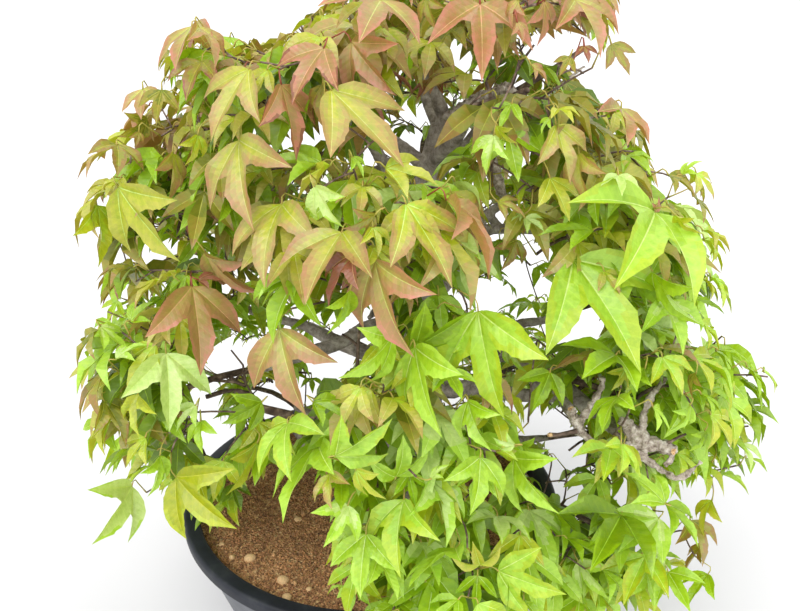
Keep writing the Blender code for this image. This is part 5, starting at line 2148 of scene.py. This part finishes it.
# %% Grains on the bed
GRAINS = 9400
GRAIN_SIZES = (0.0005, 0.0011)
PATCH_SIZE = 0.03
PATCH_LEAN = 1.6  # how strongly the noise of the patches turns grains dark or tan
PEBBLE_CHANCE = 0.012
PEBBLE_SIZE = 0.0022
GRAIN_EDGE = 0.003  # grains keep this far from the bed's rim
GRAIN_SQUEEZE = (0.7, 1.25)
GRAIN_ROUGHNESS = (0.8, 1.15)
GRAIN_SHOWN = 0.35  # how much of its size a grain's middle lies above the bed
PEBBLE_SQUEEZE = (0.8, 1.2)
PEBBLE_FLATNESS = 0.7
PEBBLE_SHOWN = 0.2
DENT_DEPTH = 0.12
DENT_SIZE = 1.7
DENTS_APART = 90  # carries each pebble to its own part of the noise
ABOVE_BED = 0.3
ROUND_TURN = 6.28
SPECKLE_SHADE = 0.62  # how dark a grain's speckles are, and those of a pale grain
PALE_SPECKLE_SHADE = 0.9
SEEN_PEBBLES = (  # across, down, radius
    (250, 559, 0.0036), (283, 581, 0.0036), (287, 598, 0.0030), (232, 558, 0.0024), (222, 545, 0.0022),
    (240, 490, 0.0024), (309, 590, 0.0024), (264, 600, 0.0018), (298, 520, 0.0026))
GRAIN_TINTS = {
    "brown": ((208, 150, 100), 12),
    "dark": ((178, 126, 86), 7),
    "tan": ((224, 172, 120), 4),
    "pale": ((236, 196, 146), 0),
    "moss": ((180, 154, 106), 1),
}


def stone_arrays(subdivisions):
    """An icosphere's points and faces."""
    bpy.ops.mesh.primitive_ico_sphere_add(subdivisions=subdivisions, radius=1.0)
    stone = bpy.context.object
    points = np.array([vertex.co for vertex in stone.data.vertices])
    faces = np.array([tuple(face.vertices) for face in stone.data.polygons])
    bpy.data.objects.remove(stone, do_unlink=True)
    return points, faces


stone_points, stone_faces = stone_arrays(1)
pebble_points, pebble_faces = stone_arrays(3)

bed_tree = BVHTree.FromPolygons(
    [vertex.co.copy() for vertex in bed.data.vertices], [tuple(face.vertices) for face in bed.data.polygons])
grain_rng = random.Random(23)
grain_blocks = {tint: [] for tint in GRAIN_TINTS}
deck = [tint for tint, (_, share) in GRAIN_TINTS.items() for _ in range(share)]
while sum(len(parts) for parts in grain_blocks.values()) < GRAINS:
    away = (SOIL_RADIUS - GRAIN_EDGE) * math.sqrt(grain_rng.random())
    azimuth = grain_rng.uniform(0, 2 * math.pi)
    x, y = away * math.cos(azimuth), away * math.sin(azimuth)
    if math.hypot(x - TRUNK_FOOT.x, y - TRUNK_FOOT.y) < TRUNK_FOOT_RADIUS:
        continue
    hit = bed_tree.ray_cast(Vector((x, y, ABOVE_BED)), DOWN)[0]
    tint = grain_rng.choice(deck)
    patch = noise.noise(Vector((x, y, 0.0)) / PATCH_SIZE) * PATCH_LEAN
    if grain_rng.random() < abs(patch):
        tint = "dark" if patch < 0 else grain_rng.choice(("brown", "tan"))
    size = grain_rng.uniform(*GRAIN_SIZES)
    if tint == "tan" and grain_rng.random() < PEBBLE_CHANCE:
        size = PEBBLE_SIZE
    squeeze = np.array([grain_rng.uniform(*GRAIN_SQUEEZE) for _ in range(3)])
    rough = np.array([[grain_rng.uniform(*GRAIN_ROUGHNESS)] for _ in stone_points])
    turn = Matrix.Rotation(grain_rng.uniform(0, ROUND_TURN), 3, "X")
    turn = turn @ Matrix.Rotation(grain_rng.uniform(0, ROUND_TURN), 3, "Z")
    shaped = (stone_points * squeeze * rough * size) @ np.array(turn).T
    grain_blocks[tint].append((shaped + np.array((x, y, hit.z + size * GRAIN_SHOWN)), stone_faces))

for across, down, size in SEEN_PEBBLES:
    hit = bed_tree.ray_cast(EYE, sight_line(across, down).normalized())[0]
    turn = Matrix.Rotation(grain_rng.uniform(0, ROUND_TURN), 3, "Z")
    squeeze = np.array([*(grain_rng.uniform(*PEBBLE_SQUEEZE) for _ in range(2)), PEBBLE_FLATNESS])
    dents = np.array([[1 + DENT_DEPTH * noise.noise(Vector(point) * DENT_SIZE + hit * DENTS_APART)]
                      for point in pebble_points])
    shaped = (pebble_points * squeeze * dents * size) @ np.array(turn).T
    middle = np.array((hit.x, hit.y, hit.z + size * PEBBLE_SHOWN))
    grain_blocks["pale"].append((shaped + middle, pebble_faces))

soil_pieces = [bed]
for tint, parts in grain_blocks.items():
    piece = add_to_scene(f"grains_{tint}", tint_mesh(f"grains_{tint}", parts))
    look = GRAIN_TINTS[tint][0]
    shade = [value * (PALE_SPECKLE_SHADE if tint == "pale" else SPECKLE_SHADE) for value in look]
    speckled = patterned_finish(
        f"grain_{tint}", look, 0.9, {"Scale": 900.0, "Detail": 4.0},
        ((0.35, shade), (0.6, look)), (0.6, 0.0005))
    coat(piece, speckled)
    soil_pieces.append(piece)
for piece in soil_pieces:
    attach(piece, "root")
    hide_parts("soil")
print("pieces of soil:", len(soil_pieces))

# %% [markdown]
# ## Floor and light
#
# The tree stands on a pale floor under soft studio light. One wide panel lights it from the upper left in
# front, a weaker one fills the right from behind, a low one in front lifts the drooping leaves, and an
# even pale sky opens the shade between them.

# %% Studio
FLOOR_SIZE = 16.0
bpy.ops.mesh.primitive_plane_add(size=FLOOR_SIZE, location=(0, 2.0, 0))
floor = bpy.context.object
floor.name = "floor"
floor_finish = new_finish("pale_floor", colour(205, 204, 204), 0.9)
bump(floor_finish, object_pattern(floor_finish, Scale=3.0), "Fac", 0.02, 0.01)
floor.data.materials.append(floor_finish)

SKY_LIGHT = 1.22
SKY_SEEN = 1.0
world = bpy.data.worlds.new("studio")
world.use_nodes = True
sky = world.node_tree.nodes["Background"]
sky.inputs["Color"].default_value = (0.97, 0.98, 1.0, 1.0)
ray = node(world, "ShaderNodeLightPath")
sky_range = rescaled(world, ray, "Is Camera Ray", 0.0, 1.0, SKY_LIGHT, SKY_SEEN)
wire(world, sky_range, "Result", sky, "Strength")
bpy.context.scene.world = world
LAMPS = (  # direction from the tree, strength, softness in degrees
    ((-0.55, -0.85, 1.4), 2.0, 50),
    ((0.9, 0.4, 1.0), 0.9, 70),
    ((0.2, -1.0, 0.3), 1.0, 60),
)
for towards_lamp, strength, softness in LAMPS:
    bpy.ops.object.light_add(type="SUN", location=Vector(towards_lamp) * 2)
    lamp = bpy.context.object
    lamp.data.energy = strength
    lamp.data.angle = math.radians(softness)
    lamp.rotation_euler = Vector(towards_lamp).to_track_quat("Z", "Y").to_euler()
bpy.context.scene.view_settings.view_transform = "Standard"
print("lamps:", len(LAMPS))
